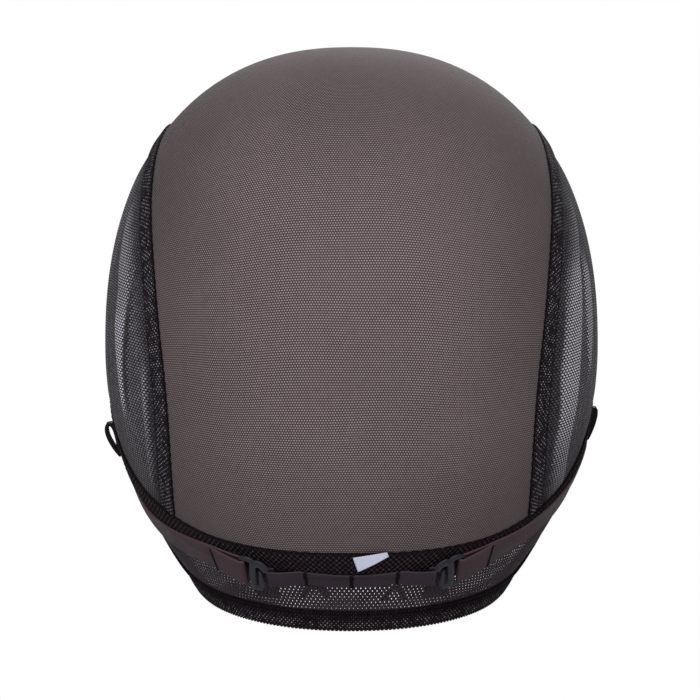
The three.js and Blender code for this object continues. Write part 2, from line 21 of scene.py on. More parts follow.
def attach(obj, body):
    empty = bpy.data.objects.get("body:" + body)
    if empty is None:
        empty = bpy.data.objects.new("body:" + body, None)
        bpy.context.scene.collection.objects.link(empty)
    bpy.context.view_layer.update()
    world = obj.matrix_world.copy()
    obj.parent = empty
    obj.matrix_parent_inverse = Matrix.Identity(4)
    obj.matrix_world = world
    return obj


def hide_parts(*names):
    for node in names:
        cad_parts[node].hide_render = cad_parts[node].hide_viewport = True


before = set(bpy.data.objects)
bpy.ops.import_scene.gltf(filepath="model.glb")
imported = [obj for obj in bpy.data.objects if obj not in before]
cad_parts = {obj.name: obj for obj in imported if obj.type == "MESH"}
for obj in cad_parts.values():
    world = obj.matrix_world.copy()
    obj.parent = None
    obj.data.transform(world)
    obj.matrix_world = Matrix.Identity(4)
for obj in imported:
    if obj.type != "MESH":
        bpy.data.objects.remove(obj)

Array = NDArray[np.float64]
Whole = NDArray[np.int64]
Mask = NDArray[np.bool_]
Span = tuple[float, float]
Colour = tuple[float, float, float]
Socket = bpy.types.NodeSocket
Input = Socket | float | Sequence[float]

LOG = logging.getLogger("wig_cap")
BODY = "root"
WEAVE = "weave"
TONE = "tone"
YARN_TONE = 0.5
MILLIMETRE = 0.001
FULL_TURN = 2 * math.pi
ALL_ROUND = (-180.0, 180.0)
HALVINGS = 40


class Side(Enum):
    """The two sides of the cap, as the sign of x."""

    LEFT = -1
    RIGHT = 1

    @property
    def word(self) -> str:
        """The side's name as the nodes spell it."""
        return self.name.lower()


class Slot(Enum):
    """The record's material slots."""

    CROWN_NET = "crown_net"
    SHEER_NET = "sheer_net"
    BLACK_TAPE = "black_tape"
    RIBBON = "ribbon"
    LOOP_TAPE = "loop_tape"
    HOOK_PLASTIC = "hook_plastic"
    LABEL = "label"


class Held(Enum):
    """How a sheet of cloth is held."""

    STRETCHED = "stretched"
    GATHERED = "gathered"


def unit(vectors: Array) -> Array:
    """Vectors divided by their lengths."""
    return vectors / np.linalg.norm(vectors, axis=-1, keepdims=True)


def ease(value: Array, low: float, high: float) -> Array:
    """A smooth step from 0 at low to 1 at high."""
    share = np.clip((value - low) / (high - low), 0, 1)
    return share * share * (3 - 2 * share)


def bell(value: Array, middle: float, spread: float) -> Array:
    """A bump of height 1 at the middle, fading over the spread."""
    return np.exp(-(((value - middle) / spread) ** 2))


def run_lengths(points: Array) -> Array:
    """Distance of each point of a line from its first one: the running sum of the steps between them.

    Args:
        points: One line or several, with a line's points along the last axis but one.

    Returns:
        A distance for each point.
    """
    steps = np.linalg.norm(np.diff(points, axis=-2), axis=-1)
    start = np.zeros((*steps.shape[:-1], 1))
    return np.concatenate([start, np.cumsum(steps, axis=-1)], axis=-1)


def halved(near: Array, far: Array, holds: Callable[[Array], Mask]) -> Array:
    """The last values at which a test holds, by halving the way to values at which it doesn't.

    Args:
        near: Values at which it holds.
        far: Values at which it doesn't.
        holds: The test.

    Returns:
        The last values at which it holds.
    """
    for _ in range(HALVINGS):
        middle = (near + far) / 2
        held = holds(middle)
        near, far = np.where(held, middle, near), np.where(held, far, middle)
    return near


def linked(name: str, data: bpy.types.ID) -> bpy.types.Object:
    """Puts a mesh, a camera or a lamp into the scene.

    Args:
        name: The object's name.
        data: What it holds.

    Returns:
        The object.
    """
    piece = bpy.data.objects.new(name, data)
    bpy.context.scene.collection.objects.link(piece)
    return piece


@dataclass(frozen=True)
class Line:
    """A line on the form as a short table, read by a smooth curve through its rows."""

    at: tuple[float, ...]
    value: tuple[float, ...]

    def read(self, at: Array | float) -> Array:
        """Reads the table: a cubic between two rows, with slopes from their neighbours.

        Args:
            at: Where to read it.

        Returns:
            The values there.
        """
        x, y = np.array(self.at, float), np.array(self.value, float)
        last = len(x) - 1
        after = np.minimum(np.arange(last + 1) + 1, last)
        before = np.maximum(np.arange(last + 1) - 1, 0)
        slope = (y[after] - y[before]) / (x[after] - x[before])
        k = np.clip(np.searchsorted(x, at) - 1, 0, last - 1)
        span = x[k + 1] - x[k]
        t = np.clip((at - x[k]) / span, 0, 1)
        rise = y[k + 1] - y[k]
        bend = (slope[k] * span - rise) * (1 - t) + (rise - slope[k + 1] * span) * t
        return y[k] + rise * t + bend * t * (1 - t)


@dataclass(frozen=True)
class CapForm:
    """The smooth form that the cap is stretched to: stacked ovals, a dome above and a nape below."""

    half_width: float = 77.5
    half_length: float = 95.0
    crown_height: float = 94.5
    crown_power: float = 2.3
    plan_power: float = 2.1
    lower_depth: float = 94.0
    nape_share: float = 0.64
    nape_blend: float = 0.06
    slope_step: float = 0.01
    reach: float = 200.0

    def oval_share(self, height: Array) -> Array:
        """Size of the oval at a height as a share of the widest: a dome above, a soft step to the nape below.

        Args:
            height: Heights from the widest level.

        Returns:
            The shares.
        """
        dome = 1 - np.clip(height / self.crown_height, 0, 1) ** self.crown_power
        ellipse = np.sqrt(np.clip(1 - (height / self.lower_depth) ** 2, 0, 1))

        def soft_max(share: Array | float) -> Array:
            """The greater of a share and the nape's, blended where they meet."""
            return (share + self.nape_share + np.hypot(share - self.nape_share, self.nape_blend)) / 2

        return np.where(height >= 0, dome ** (1 / self.crown_power), soft_max(ellipse) / soft_max(1.0))

    def oval_distance(self, x: Array, y: Array) -> Array:
        """Distance from the axis in widest ovals, which are superellipses."""
        power = self.plan_power
        return (np.abs(x / self.half_width) ** power + np.abs(y / self.half_length) ** power) ** (1 / power)

    def excess(self, points: Array) -> Array:
        """How far outside the form points are: below zero inside it."""
        return self.oval_distance(points[..., 0], points[..., 1]) - self.oval_share(points[..., 2])

    def azimuth(self, points: Array) -> Array:
        """Azimuths of points in degrees: 0 is the back."""
        return np.degrees(np.arctan2(points[..., 0], -points[..., 1]))

    def point(self, azimuth: Array, height: Array) -> Array:
        """Points of the form: a ray from the axis, as long as the oval there is wide.

        Args:
            azimuth: Azimuths in degrees, 0 at the back.
            height: Heights from the widest level.

        Returns:
            The points.
        """
        angle = np.radians(azimuth)
        x, y = np.sin(angle), -np.cos(angle)
        radius = self.oval_share(np.asarray(height, float)) / self.oval_distance(x, y)
        return np.stack(np.broadcast_arrays(x * radius, y * radius, height), -1)

    def normal(self, points: Array) -> Array:
        """Outward normals, from the slope of the excess along each axis, and straight up at the very top.

        Args:
            points: Points on the form or near it.

        Returns:
            The normals.
        """
        steps = np.eye(3) * self.slope_step
        slopes = np.stack([self.excess(points + step) - self.excess(points - step) for step in steps], -1)
        slopes[points[..., 2] > self.crown_height - 2 * self.slope_step] = (0, 0, 1)
        return unit(slopes)

    def pitch_point(self, x: Array, pitch: Array) -> Array:
        """Points at a distance from the middle plane, where rays of a pitch (0 up, 90 back) meet the form.

        Args:
            x: Distance to the right of the middle plane.
            pitch: Angle of the ray in degrees.

        Returns:
            The points, found by halving the ray.
        """
        x, angle = np.broadcast_arrays(np.asarray(x, float), np.radians(pitch))
        way = np.stack([np.zeros_like(x), -np.sin(angle), np.cos(angle)], -1)
        start = np.stack([x, np.zeros_like(x), np.zeros_like(x)], -1)

        def inside(reach: Array) -> Mask:
            """Whether a ray is still inside the form at a reach."""
            return self.excess(start + way * reach[..., None]) < 0

        reach = halved(np.zeros(x.shape), np.full(x.shape, self.reach), inside)
        return start + way * reach[..., None]

    def lifted(self, points: Array, lift: Array | float) -> Array:
        """Points moved off the form along its normal."""
        return points + self.normal(points) * np.asarray(lift)[..., None]


class Track:
    """A line on the form with its length, and places beside it."""

    def __init__(self, form: CapForm, points: Array, zero: int = 0) -> None:
        """Measures the line.

        Args:
            form: The form that it lies on.
            points: Its points in order.
            zero: Number of the point from which lengths count.
        """
        self.form = form
        self.points = points
        self.lengths = run_lengths(points)
        self.lengths -= self.lengths[zero]
        self.ways = unit(np.gradient(points, self.lengths, axis=0))

    @property
    def ends(self) -> Span:
        """Lengths at the two ends."""
        return float(self.lengths[0]), float(self.lengths[-1])

    def blended(self, values: Array, along: Array) -> Array:
        """Values of the line's points, read between them."""
        return np.stack([np.interp(along, self.lengths, values[:, axis]) for axis in range(3)], -1)

    def place(self, along: Array | float, across: Array | float, lift: Array | float) -> Array:
        """Places beside the line: its point, plus steps along the side and the normal of the form.

        Args:
            along: Distance along the line.
            across: Distance to the left of its way.
            lift: Distance off the form.

        Returns:
            The points.
        """
        along, across, lift = np.broadcast_arrays(along, across, lift)
        point = self.blended(self.points, along)
        normal = self.form.normal(point)
        sideways = unit(np.cross(normal, self.blended(self.ways, along)))
        return point + sideways * across[..., None] + normal * lift[..., None]


@dataclass(frozen=True)
class CapLines:
    """The lines that the cap's pieces share: its rim, nape seam, crown seams and strap line."""

    form: CapForm = CapForm()
    rim: Line = Line(
        at=(-30, 0, 30, 60, 76, 88, 98, 110, 121, 133, 145, 161, 180, 199),
        value=(-80, -81, -80, -77, -73, -60, -43, -25, -22, -26, -12, 16, 27, 16),
    )
    nape: Line = Line(
        at=(-15, 0, 15, 26, 35, 45, 60, 75, 90, 106),
        value=(-56.2, -56.4, -56.2, -55.2, -53.4, -50, -43, -32.5, -19, -11.5),
    )
    seam: Line = Line(
        at=(-125, -100, -60, 0, 22, 45, 75, 100, 130),
        value=(53, 55, 57, 59.5, 61.6, 62, 59.4, 56.6, 55.5),
    )
    strap: Line = Line(
        at=(-99, -88, -76, -62, -51, -42, -34, -28, -22, -16, 0, 16, 22, 28, 34, 44, 51, 62, 76, 88, 99),
        value=(-19, -33.5, -43, -50.5, -54, -55.6, -57, -58.6, -60.1, -60.8, -62.2,
               -60.6, -59.6, -57.8, -55.9, -53, -50, -45, -38.5, -30.5, -18),
    )
    hem_rise: float = 6.6
    seam_gap: float = 0.2
    nape_end: float = 106.0
    strap_end: float = 99.0
    nape_pitches: Span = (60.0, 150.0)
    brow_pitches: Span = (-30.0, -150.0)
    samples: int = 900

    def rim_height(self, azimuth: Array) -> Array:
        """Height of the cap's lower edge."""
        return self.rim.read(np.abs(azimuth))

    def hem_top(self, azimuth: Array) -> Array:
        """Height of the hem's upper edge."""
        return self.rim_height(azimuth) + self.hem_rise

    def nape_height(self, azimuth: Array) -> Array:
        """Height of the nape seam."""
        return self.nape.read(np.abs(azimuth))

    def side_foot(self, azimuth: Array) -> Array:
        """Height of a side panel's lower edge: on the nape seam, and past the ear on the hem."""
        size = np.abs(azimuth)
        return np.where(size <= self.nape_end, self.nape_height(size), self.hem_top(size))

    def past_seam(self, points: Array) -> Array:
        """How far points lie outside the crown panel, across the cap: below zero on the crown."""
        pitch = np.degrees(np.arctan2(-points[..., 1], points[..., 2]))
        return np.abs(points[..., 0]) - self.seam.read(pitch)

    def pitch_down_to(self, share: Array, pitches: Span, height: Callable[[Array], Array]) -> Array:
        """Pitch at which crown lines come down to a height line, by halving.

        Args:
            share: Each crown line's share of the seam's reach, -1 to 1.
            pitches: A pitch above the line and one below it.
            height: The height line, by azimuth.

        Returns:
            One pitch for each crown line.
        """

        def above(pitch: Array) -> Mask:
            """Whether a crown line is still above the height line at a pitch."""
            point = self.form.pitch_point(share * self.seam.read(pitch), pitch)
            return point[..., 2] > height(self.form.azimuth(point))

        return halved(np.full(share.shape, pitches[0]), np.full(share.shape, pitches[1]), above)

    def nape_pitch(self, share: Array) -> Array:
        """Pitch of the crown panel's lower edge at the nape."""
        return self.pitch_down_to(share, self.nape_pitches, self.nape_height)

    def brow_pitch(self, share: Array) -> Array:
        """Pitch of the crown panel's lower edge at the brow."""
        return self.pitch_down_to(share, self.brow_pitches, self.hem_top)

    def seam_track(self, side: Side) -> Track:
        """A crown seam from the nape to the brow, by even steps of pitch.

        Args:
            side: Which seam.

        Returns:
            Its track.
        """
        reach = np.array([1.0])
        pitch = np.linspace(self.nape_pitch(reach)[0], self.brow_pitch(reach)[0], self.samples)
        return Track(self.form, self.form.pitch_point(side.value * self.seam.read(pitch), pitch))

    def nape_track(self) -> Track:
        """The nape seam from ear to ear, with lengths counted from the middle."""
        azimuth = np.linspace(-self.nape_end, self.nape_end, self.samples + 1)
        return Track(self.form, self.form.point(azimuth, self.nape_height(azimuth)), self.samples // 2)


@dataclass
class Solid:
    """Points and faces of closed bodies in millimetres.

    Each corner of a face has a weave place, and each point has a tone.
    """

    points: Array
    faces: list[Whole]
    weave: list[Array]
    tone: Array | float = 0.0

    def tones(self) -> Array:
        """How light the cloth or yarn is at each point, from 0 to 1: on the nets and tapes it carries painted
        light and shade.
        """
        return np.broadcast_to(self.tone, len(self.points))

    def faced_outwards(self) -> "Solid":
        """The same bodies with every face turned outwards, by the sign of the volume.

        Returns:
            These bodies, or a copy with every face turned round.
        """
        volume = 0.0
        for face in self.faces:
            corner = self.points[face]
            for k in range(1, face.shape[1] - 1):
                volume += float(np.sum(corner[:, 0] * np.cross(corner[:, k], corner[:, k + 1])))
        if volume >= 0:
            return self
        faces = [face[:, ::-1] for face in self.faces]
        return Solid(self.points, faces, [weave[:, ::-1] for weave in self.weave], self.tone)

    def to_object(self, name: str, top: float) -> bpy.types.Object:
        """A Blender object of these bodies, in metres, with the weave as its UV map.

        Args:
            name: The object's name.
            top: Height of the origin in the form's own heights.

        Returns:
            The object, linked to the scene.
        """
        mesh = bpy.data.meshes.new(name)
        place = (self.points - (0, 0, top)) * MILLIMETRE
        mesh.vertices.add(len(place))
        mesh.vertices.foreach_set("co", place.astype(np.float32).ravel())
        corners = np.concatenate([face.ravel() for face in self.faces])
        sizes = np.concatenate([np.full(len(face), face.shape[1]) for face in self.faces])
        mesh.loops.add(len(corners))
        mesh.loops.foreach_set("vertex_index", corners.astype(np.int32))
        mesh.polygons.add(len(sizes))
        mesh.polygons.foreach_set("loop_start", (np.cumsum(sizes) - sizes).astype(np.int32))
        mesh.polygons.foreach_set("use_smooth", np.ones(len(sizes), bool))
        weave = np.concatenate([part.reshape(-1, 2) for part in self.weave])
        mesh.uv_layers.new(name=WEAVE).uv.foreach_set("vector", weave.astype(np.float32).ravel())
        tones = mesh.attributes.new(TONE, "FLOAT", "POINT")
        tones.data.foreach_set("value", self.tones().astype(np.float32))
        mesh.update(calc_edges=True)
        mesh.validate()
        return linked(name, mesh)


def joined(solids: Sequence[Solid]) -> Solid:
    """Several solids as one: their points in a row, with each one's faces counted on from its first point.

    Args:
        solids: The solids.

    Returns:
        All of them as one.
    """
    starts = np.cumsum([0] + [len(solid.points) for solid in solids])
    return Solid(
        np.concatenate([solid.points for solid in solids]),
        [face + start for solid, start in zip(solids, starts) for face in solid.faces],
        [weave for solid in solids for weave in solid.weave],
        np.concatenate([solid.tones() for solid in solids]),
    )


def shell(outer: Array, inner: Array, weave: Array, ring: bool = False, tone: Array | float = 0.0) -> Solid:
    """A closed wall between two grids of points, joined round its edges.

    Args:
        outer: Points of the outer face, columns by rows.
        inner: Points of the inner face.
        weave: Weave place of each grid point, with one column more on a ring.
        ring: Whether the last column meets the first.
        tone: How light the cloth is at each grid point.

    Returns:
        The wall.
    """
    columns, rows = outer.shape[:2]
    top = np.arange(columns * rows).reshape(columns, rows)
    mark = np.arange(weave.shape[0] * rows).reshape(-1, rows)
    if ring:
        top = np.vstack([top, top[:1]])

    def quads(grid: Whole) -> Whole:
        """Faces between the neighbours of a grid."""
        return np.stack([grid[:-1, :-1], grid[1:, :-1], grid[1:, 1:], grid[:-1, 1:]], -1).reshape(-1, 4)

    def strip(first: Whole, second: Whole) -> Whole:
        """Faces between two rows of points."""
        return np.stack([first[:-1], second[:-1], second[1:], first[1:]], -1)

    def faces(upper: Whole, under: Whole) -> Whole:
        """Faces of both grids and of the edges between them."""
        found = [quads(upper), quads(under)[:, ::-1]]
        found += [strip(upper[:, 0], under[:, 0]), strip(under[:, -1], upper[:, -1])]
        if not ring:
            found += [strip(under[0], upper[0]), strip(upper[-1], under[-1])]
        return np.concatenate(found)

    points = np.concatenate([outer.reshape(-1, 3), inner.reshape(-1, 3)])
    corners = weave.reshape(-1, 2)[faces(mark, mark)]
    tones = np.tile(np.broadcast_to(tone, (columns, rows)).ravel(), 2)
    return Solid(points, [faces(top, top + columns * rows)], [corners], tones).faced_outwards()


def tubes(
    centres: Array,
    normals: Array,
    ways: Array,
    half_width: Array | float,
    half_height: Array | float,
    sides: int,
    keep: Mask | None = None,
) -> Solid:
    """Closed tubes along rows of points: at each point a ring of sides, flat or round, across the way.

    Args:
        centres: Points of each tube, tubes by points.
        normals: Which way is out of the cloth at each point.
        ways: Which way the tube runs at each point.
        half_width: Half of its width along the cloth.
        half_height: Half of its height out of the cloth.
        sides: Number of sides.
        keep: Which steps between points are built, all of them if left out.

    Returns:
        The tubes, each with its ends closed.
    """
    count, steps = centres.shape[:2]
    keep = np.ones((count, steps - 1), bool) if keep is None else keep
    across = unit(np.cross(ways, normals))
    angle = FULL_TURN * np.arange(sides) / sides
    wide = np.broadcast_to(half_width, (count, steps))[..., None, None] * across[:, :, None]
    high = np.broadcast_to(half_height, (count, steps))[..., None, None] * normals[:, :, None]
    rings = centres[:, :, None] + np.cos(angle)[:, None] * high + np.sin(angle)[:, None] * wide
    index = np.arange(count * steps * sides).reshape(count, steps, sides)
    start, stop = index[:, :-1], index[:, 1:]
    around = np.stack([start, np.roll(start, -1, 2), np.roll(stop, -1, 2), stop], -1)[keep].reshape(-1, 4)
    edge = np.zeros((count, 1), bool)
    first = keep & ~np.hstack([edge, keep[:, :-1]])
    last = keep & ~np.hstack([keep[:, 1:], edge])
    ends = np.concatenate([start[first][:, ::-1], stop[last]])
    used, corner = np.unique(np.concatenate([around.ravel(), ends.ravel()]), return_inverse=True)
    faces = [corner[: around.size].reshape(-1, 4), corner[around.size:].reshape(-1, sides)]
    turn = np.broadcast_to(np.arange(sides) / sides, index.shape).reshape(-1)[used]
    along = np.broadcast_to(np.arange(steps)[:, None], index.shape).reshape(-1)[used]
    place = np.stack([along, turn], -1)
    points = rings.reshape(-1, 3)[used]
    return Solid(points, faces, [place[face] for face in faces], YARN_TONE).faced_outwards()


@dataclass(frozen=True)
class Ribbon:
    """A ribbon: a flat profile with thicker edges that are rounded at their corners.

    The selvedge is a share of the wall, the edge one of half the width and the corner one of the edge. The
    brink lies just past the edge, which so keeps a little thickness.
    """

    width: float
    wall: float
    selvedge: float = 1.35
    edge: float = 0.1
    corner: float = 0.35
    brink: float = 1.0001
    half_rows: int = 9

    def laid(
        self,
        track: Track,
        line: Array,
        shift: float = 0.0,
        ring: bool = False,
        ground: Callable[[Array], Array] | None = None,
    ) -> Solid:
        """The profile carried along a track, square to the line that its middle takes.

        Args:
            track: The line on the form that it follows.
            line: Its middle as distances along the track and off the form, in order.
            shift: How far its middle lies across from the track.
            ring: Whether its ends meet.
            ground: Height of what it lies on, by point, where it can't sink lower.

        Returns:
            The ribbon.
        """
        nearby = np.concatenate([line[-1:], line, line[:1]]) if ring else line
        way = np.gradient(nearby, axis=0)
        way = unit(way[1:-1] if ring else way)
        share = np.sin(np.linspace(-math.pi / 2, math.pi / 2, 2 * self.half_rows + 1))
        size = np.abs(share)
        thick = 1 + (self.selvedge - 1) * ease(size, 1 - 2 * self.edge, 1 - self.edge)
        rounded = np.sqrt(np.clip(1 - ease(size, 1 - self.corner * self.edge, self.brink), 0, 1))
        half = self.wall / 2 * np.maximum(thick * rounded, self.edge)
        across = share[None, :] * self.width / 2
        middle = line[:, 1:] + 0 * across
        if ground is not None:
            rest = ground(track.place(line[:, :1], across + shift, 0.0))
            middle = np.maximum(middle, rest + self.wall / 2)

        def face(sign: int) -> Array:
            """Points of the outer face (1) or the inner one (-1)."""
            along = line[:, :1] - sign * way[:, 1:] * half
            return track.place(along, across + shift, middle + sign * way[:, :1] * half)

        closed = np.concatenate([line, line[:1]]) if ring else line
        weave = np.stack(np.broadcast_arrays(run_lengths(closed)[:, None], across), -1)
        return shell(face(1), face(-1), weave, ring)


@dataclass(frozen=True)
class Stitch:
    """A short thread that comes up out of the cloth, lies on it and goes down again.

    Places are shares of its length, and rises and sizes are shares of its thread's radius.
    """

    length: float
    radius: float
    places: tuple[float, ...] = (-0.5, -0.42, -0.15, 0.15, 0.42, 0.5)
    rises: tuple[float, ...] = (-1.2, 0.1, 0.6, 0.6, 0.1, -1.2)
    sizes: tuple[float, ...] = (0.6, 1.0, 1.0, 1.0, 1.0, 0.6)
    sides: int = 5

    def sewn(
        self,
        track: Track,
        along: Array | float,
        across: Array | float,
        lift: Array | float,
        turn: Array | float = 0.0,
    ) -> Solid:
        """Stitches along a track: the same row of rings at each place, from its back to its front.

        Args:
            track: The line that they follow.
            along: Where the middle of each one lies along it.
            across: How far across from the line it lies.
            lift: Its distance off the form.
            turn: How far across its front is turned from its middle.

        Returns:
            All of them as closed tubes.
        """
        centre = track.place(along, across, lift)
        front = track.place(along + self.length / 2, across + turn, lift)
        back = track.place(along - self.length / 2, across - turn, lift)
        way, normal = unit(front - back)[:, None], track.form.normal(centre)[:, None]
        places = np.array(self.places)[:, None] * self.length
        rises = np.array(self.rises)[:, None] * self.radius
        size = np.array(self.sizes)[None] * self.radius
        points = centre[:, None] + way * places + normal * rises
        normals, ways = (np.broadcast_to(part, points.shape) for part in (normal, way))
        return tubes(points, normals, ways, size, size, self.sides)


@dataclass(frozen=True)
class Knit:
    """A net knit: the distance between its ribs, the width of a stitch row and its depth of relief."""

    pitch: float
    row: float
    depth: float

    def relief(self, along: Array, across: Array) -> Array:
        """Height of the knit, from zero on its ribs down to its depth: two sets of slanting ribs that cross.

        Args:
            along: Distance along the tape.
            across: Distance across it.

        Returns:
            The height at each place.
        """
        slant = across / (2 * self.row)
        one = np.cos(FULL_TURN * (along / self.pitch + slant))
        other = np.cos(FULL_TURN * (along / self.pitch - slant))
        return self.depth * ((1 - np.minimum(one, other)) / 2 - 1)


SEAM_KNIT = Knit(pitch=1.5, row=0.75, depth=0.12)
NAPE_KNIT = Knit(pitch=1.75, row=1.04, depth=0.25)
HEM_KNIT = Knit(pitch=1.3, row=0.75, depth=0.14)


@dataclass(frozen=True)
class Dots:
    """Staggered dots of a net: the distance between them along and between rows, and their shape.

    Size and softness are shares of the pitch. A power of 2 makes round dots and one near 1 makes diamonds. A
    greater flatness makes dots lower.
    """

    pitch: float
    row: float
    size: float
    softness: float
    power: float = 2.0
    flatness: float = 1.0


class Graph:
    """A node tree with short ways to add and link nodes."""

    def __init__(self, tree: bpy.types.NodeTree) -> None:
        """Wraps a node tree."""
        self.tree = tree

    def feed(self, socket: Socket, value: Input) -> None:
        """Links a socket to another, or sets its value.

        Args:
            socket: The socket.
            value: What it is linked to or set to.
        """
        if isinstance(value, Socket):
            self.tree.links.new(value, socket)
        else:
            socket.default_value = value

    def add(
        self, kind: str, inputs: dict[str | int, Input] | None = None, **settings: object
    ) -> bpy.types.Node:
        """Adds a node.

        Args:
            kind: Its type.
            inputs: Values or links of its inputs, by name or number.
            **settings: Its own settings.

        Returns:
            The node.
        """
        node = self.tree.nodes.new(kind)
        for name, value in settings.items():
            setattr(node, name, value)
        for name, value in (inputs or {}).items():
            self.feed(node.inputs[name], value)
        return node

    def math(self, operation: str, *values: Input) -> Socket:
        """The result of a Math node."""
        return self.add("ShaderNodeMath", dict(enumerate(values)), operation=operation).outputs[0]

    def ramp(self, value: Input, start: tuple[Input, Input], stop: Span = (0.0, 1.0)) -> Socket:
        """A smooth ramp from one span of values to another.

        Args:
            value: What is read.
            start: The span that it is read over.
            stop: The span that comes out.

        Returns:
            The result.
        """
        names = ("Value", "From Min", "From Max", "To Min", "To Max")
        inputs = dict(zip(names, (value, *start, *stop)))
        return self.add("ShaderNodeMapRange", inputs, interpolation_type="SMOOTHSTEP").outputs[0]

    def mix(self, share: Input, first: Input, second: Input) -> Socket:
        """Two colours mixed by a share.

        Args:
            share: Share of the second colour.
            first: The first colour.
            second: The second colour.

        Returns:
            The mixed colour.
        """
        node = self.add("ShaderNodeMix", data_type="RGBA")
        colours = [socket for socket in node.inputs if socket.type == "RGBA"]
        self.feed(node.inputs["Factor"], share)
        for socket, value in zip(colours, (first, second)):
            self.feed(socket, value if isinstance(value, Socket) else (*value, 1.0))
        return next(socket for socket in node.outputs if socket.type == "RGBA")


class EffectGroups:
    """Shader node groups that several finishes share, each built once."""

    mottle_contrast: Span = (0.6, 1.4)

    def __init__(self) -> None:
        """Builds the groups."""
        self.dots = self.build_dots()
        self.mottle = self.build_mottle()

    @staticmethod
    def start(name: str, inputs: dict[str, str], output: str) -> tuple[Graph, bpy.types.Node, bpy.types.Node]:
        """Makes a group with its sockets.

        Args:
            name: The group's name.
            inputs: Socket types by name.
            output: Name of its one value.

        Returns:
            Its graph, its input node and its output node.
        """
        tree = bpy.data.node_groups.new(name, "ShaderNodeTree")
        for socket, kind in inputs.items():
            tree.interface.new_socket(socket, in_out="INPUT", socket_type=kind)
        tree.interface.new_socket(output, in_out="OUTPUT", socket_type="NodeSocketFloat")
        graph = Graph(tree)
        return graph, graph.add("NodeGroupInput"), graph.add("NodeGroupOutput")

    def build_dots(self) -> bpy.types.NodeTree:
        """Staggered rows of soft dots: two lattices of a pitch by two rows, one shifted by half of both.

        The distance from a dot's middle is a power mean of the distances along and across, with the second
        one stretched by the flatness.

        Returns:
            The group.
        """
        names = ("Pitch", "Row", "Size", "Softness", "Power", "Flatness")
        inputs = {"Weave": "NodeSocketVector"} | {name: "NodeSocketFloat" for name in names}
        graph, given, result = self.start("staggered_dots", inputs, "Mask")
        pitch, row, size, softness, power, flatness = (given.outputs[name] for name in names)
        parts = graph.add("ShaderNodeSeparateXYZ", {0: given.outputs["Weave"]})
        column = graph.math("DIVIDE", parts.outputs[0], pitch)
        double_row = graph.math("DIVIDE", parts.outputs[1], graph.math("MULTIPLY", row, 2.0))
        root = graph.math("DIVIDE", 1.0, power)
        half = 0.5
        distances = []
        for shift in (0.0, half):
            x = graph.math("PINGPONG", graph.math("ADD", column, shift), half)
            y = graph.math("PINGPONG", graph.math("ADD", double_row, shift), half)
            lowered = graph.math("POWER", graph.math("MULTIPLY", y, flatness), power)
            total = graph.math("ADD", graph.math("POWER", x, power), lowered)
            distances.append(graph.math("POWER", total, root))
        edge = (graph.math("ADD", size, softness), graph.math("SUBTRACT", size, softness))
        graph.feed(result.inputs["Mask"], graph.ramp(graph.math("MINIMUM", *distances), edge))
        return graph.tree

    def build_mottle(self) -> bpy.types.NodeTree:
        """Uneven dye and lint: soft clouds and a fine grain added together, with more contrast.

        Returns:
            The group.
        """
        inputs = {"Place": "NodeSocketVector", "Cloud": "NodeSocketFloat", "Grain": "NodeSocketFloat"}
        graph, given, result = self.start("mottle", inputs, "Value")
        layers = []
        for scale in ("Cloud", "Grain"):
            inputs = {"Vector": given.outputs["Place"], "Scale": given.outputs[scale]}
            layers.append(graph.add("ShaderNodeTexNoise", inputs).outputs[0])
        graph.feed(result.inputs["Value"], graph.ramp(graph.math("ADD", *layers), self.mottle_contrast))
        return graph.tree


class FinishGraph(Graph):
    """A material's node tree, with the shared effects at hand."""

    def __init__(self, tree: bpy.types.NodeTree, effects: EffectGroups) -> None:
        """Wraps a material's node tree."""
        super().__init__(tree)
        self.effects = effects

    def weave(self) -> Socket:
        """The piece's weave places, in millimetres."""
        return self.add("ShaderNodeUVMap", uv_map=WEAVE).outputs[0]

    def tone(self) -> Socket:
        """How light the piece is from point to point: on the nets and tapes, painted light and shade."""
        return self.add("ShaderNodeAttribute", attribute_name=TONE).outputs["Fac"]

    def dots(self, sizes: Dots) -> Socket:
        """Staggered dots on the weave: 1 on a dot, 0 beside it."""
        inputs = {"Weave": self.weave()} | {name.capitalize(): value for name, value in asdict(sizes).items()}
        return self.add("ShaderNodeGroup", inputs, node_tree=self.effects.dots).outputs[0]

    def mottle(self, scales: Span) -> Socket:
        """Uneven dye from 0 to 1, by the scales of its clouds and its grain."""
        place = self.add("ShaderNodeTexCoord").outputs["Object"]
        inputs = {"Place": place, "Cloud": scales[0], "Grain": scales[1]}
        return self.add("ShaderNodeGroup", inputs, node_tree=self.effects.mottle).outputs[0]

    def bump(self, height: Socket, depth: float) -> Socket:
        """The normal of a surface raised by a height, to a depth in millimetres."""
        inputs = {"Height": height, "Strength": 1.0, "Distance": depth * MILLIMETRE}
        return self.add("ShaderNodeBump", inputs).outputs[0]


@dataclass(frozen=True, kw_only=True)
class Finish:
    """What every finish has: a name, what is the same all over it, and the scales of its uneven dye."""

    name: str
    roughness: float
    gloss: float
    sheen: float = 0.0
    scales: Span

    def build(self, effects: EffectGroups) -> bpy.types.Material:
        """Makes the material: one Principled shader, fed with what varies over the surface.

        Args:
            effects: The shared node groups.

        Returns:
            The material.
        """
        material = bpy.data.materials.new(self.name)
        material.use_nodes = True
        graph = FinishGraph(material.node_tree, effects)
        shader = next(node for node in graph.tree.nodes if node.type == "BSDF_PRINCIPLED")
        shader.inputs["Roughness"].default_value = self.roughness
        shader.inputs["Sheen Weight"].default_value = self.sheen
        shader.inputs["Specular IOR Level"].default_value = self.gloss
        for socket, value in self.paint(graph).items():
            graph.feed(shader.inputs[socket], value)
        return material

    def paint(self, graph: FinishGraph) -> dict[str, Socket]:
        """What varies over the surface, by the shader's inputs: each finish has its own."""
        raise NotImplementedError


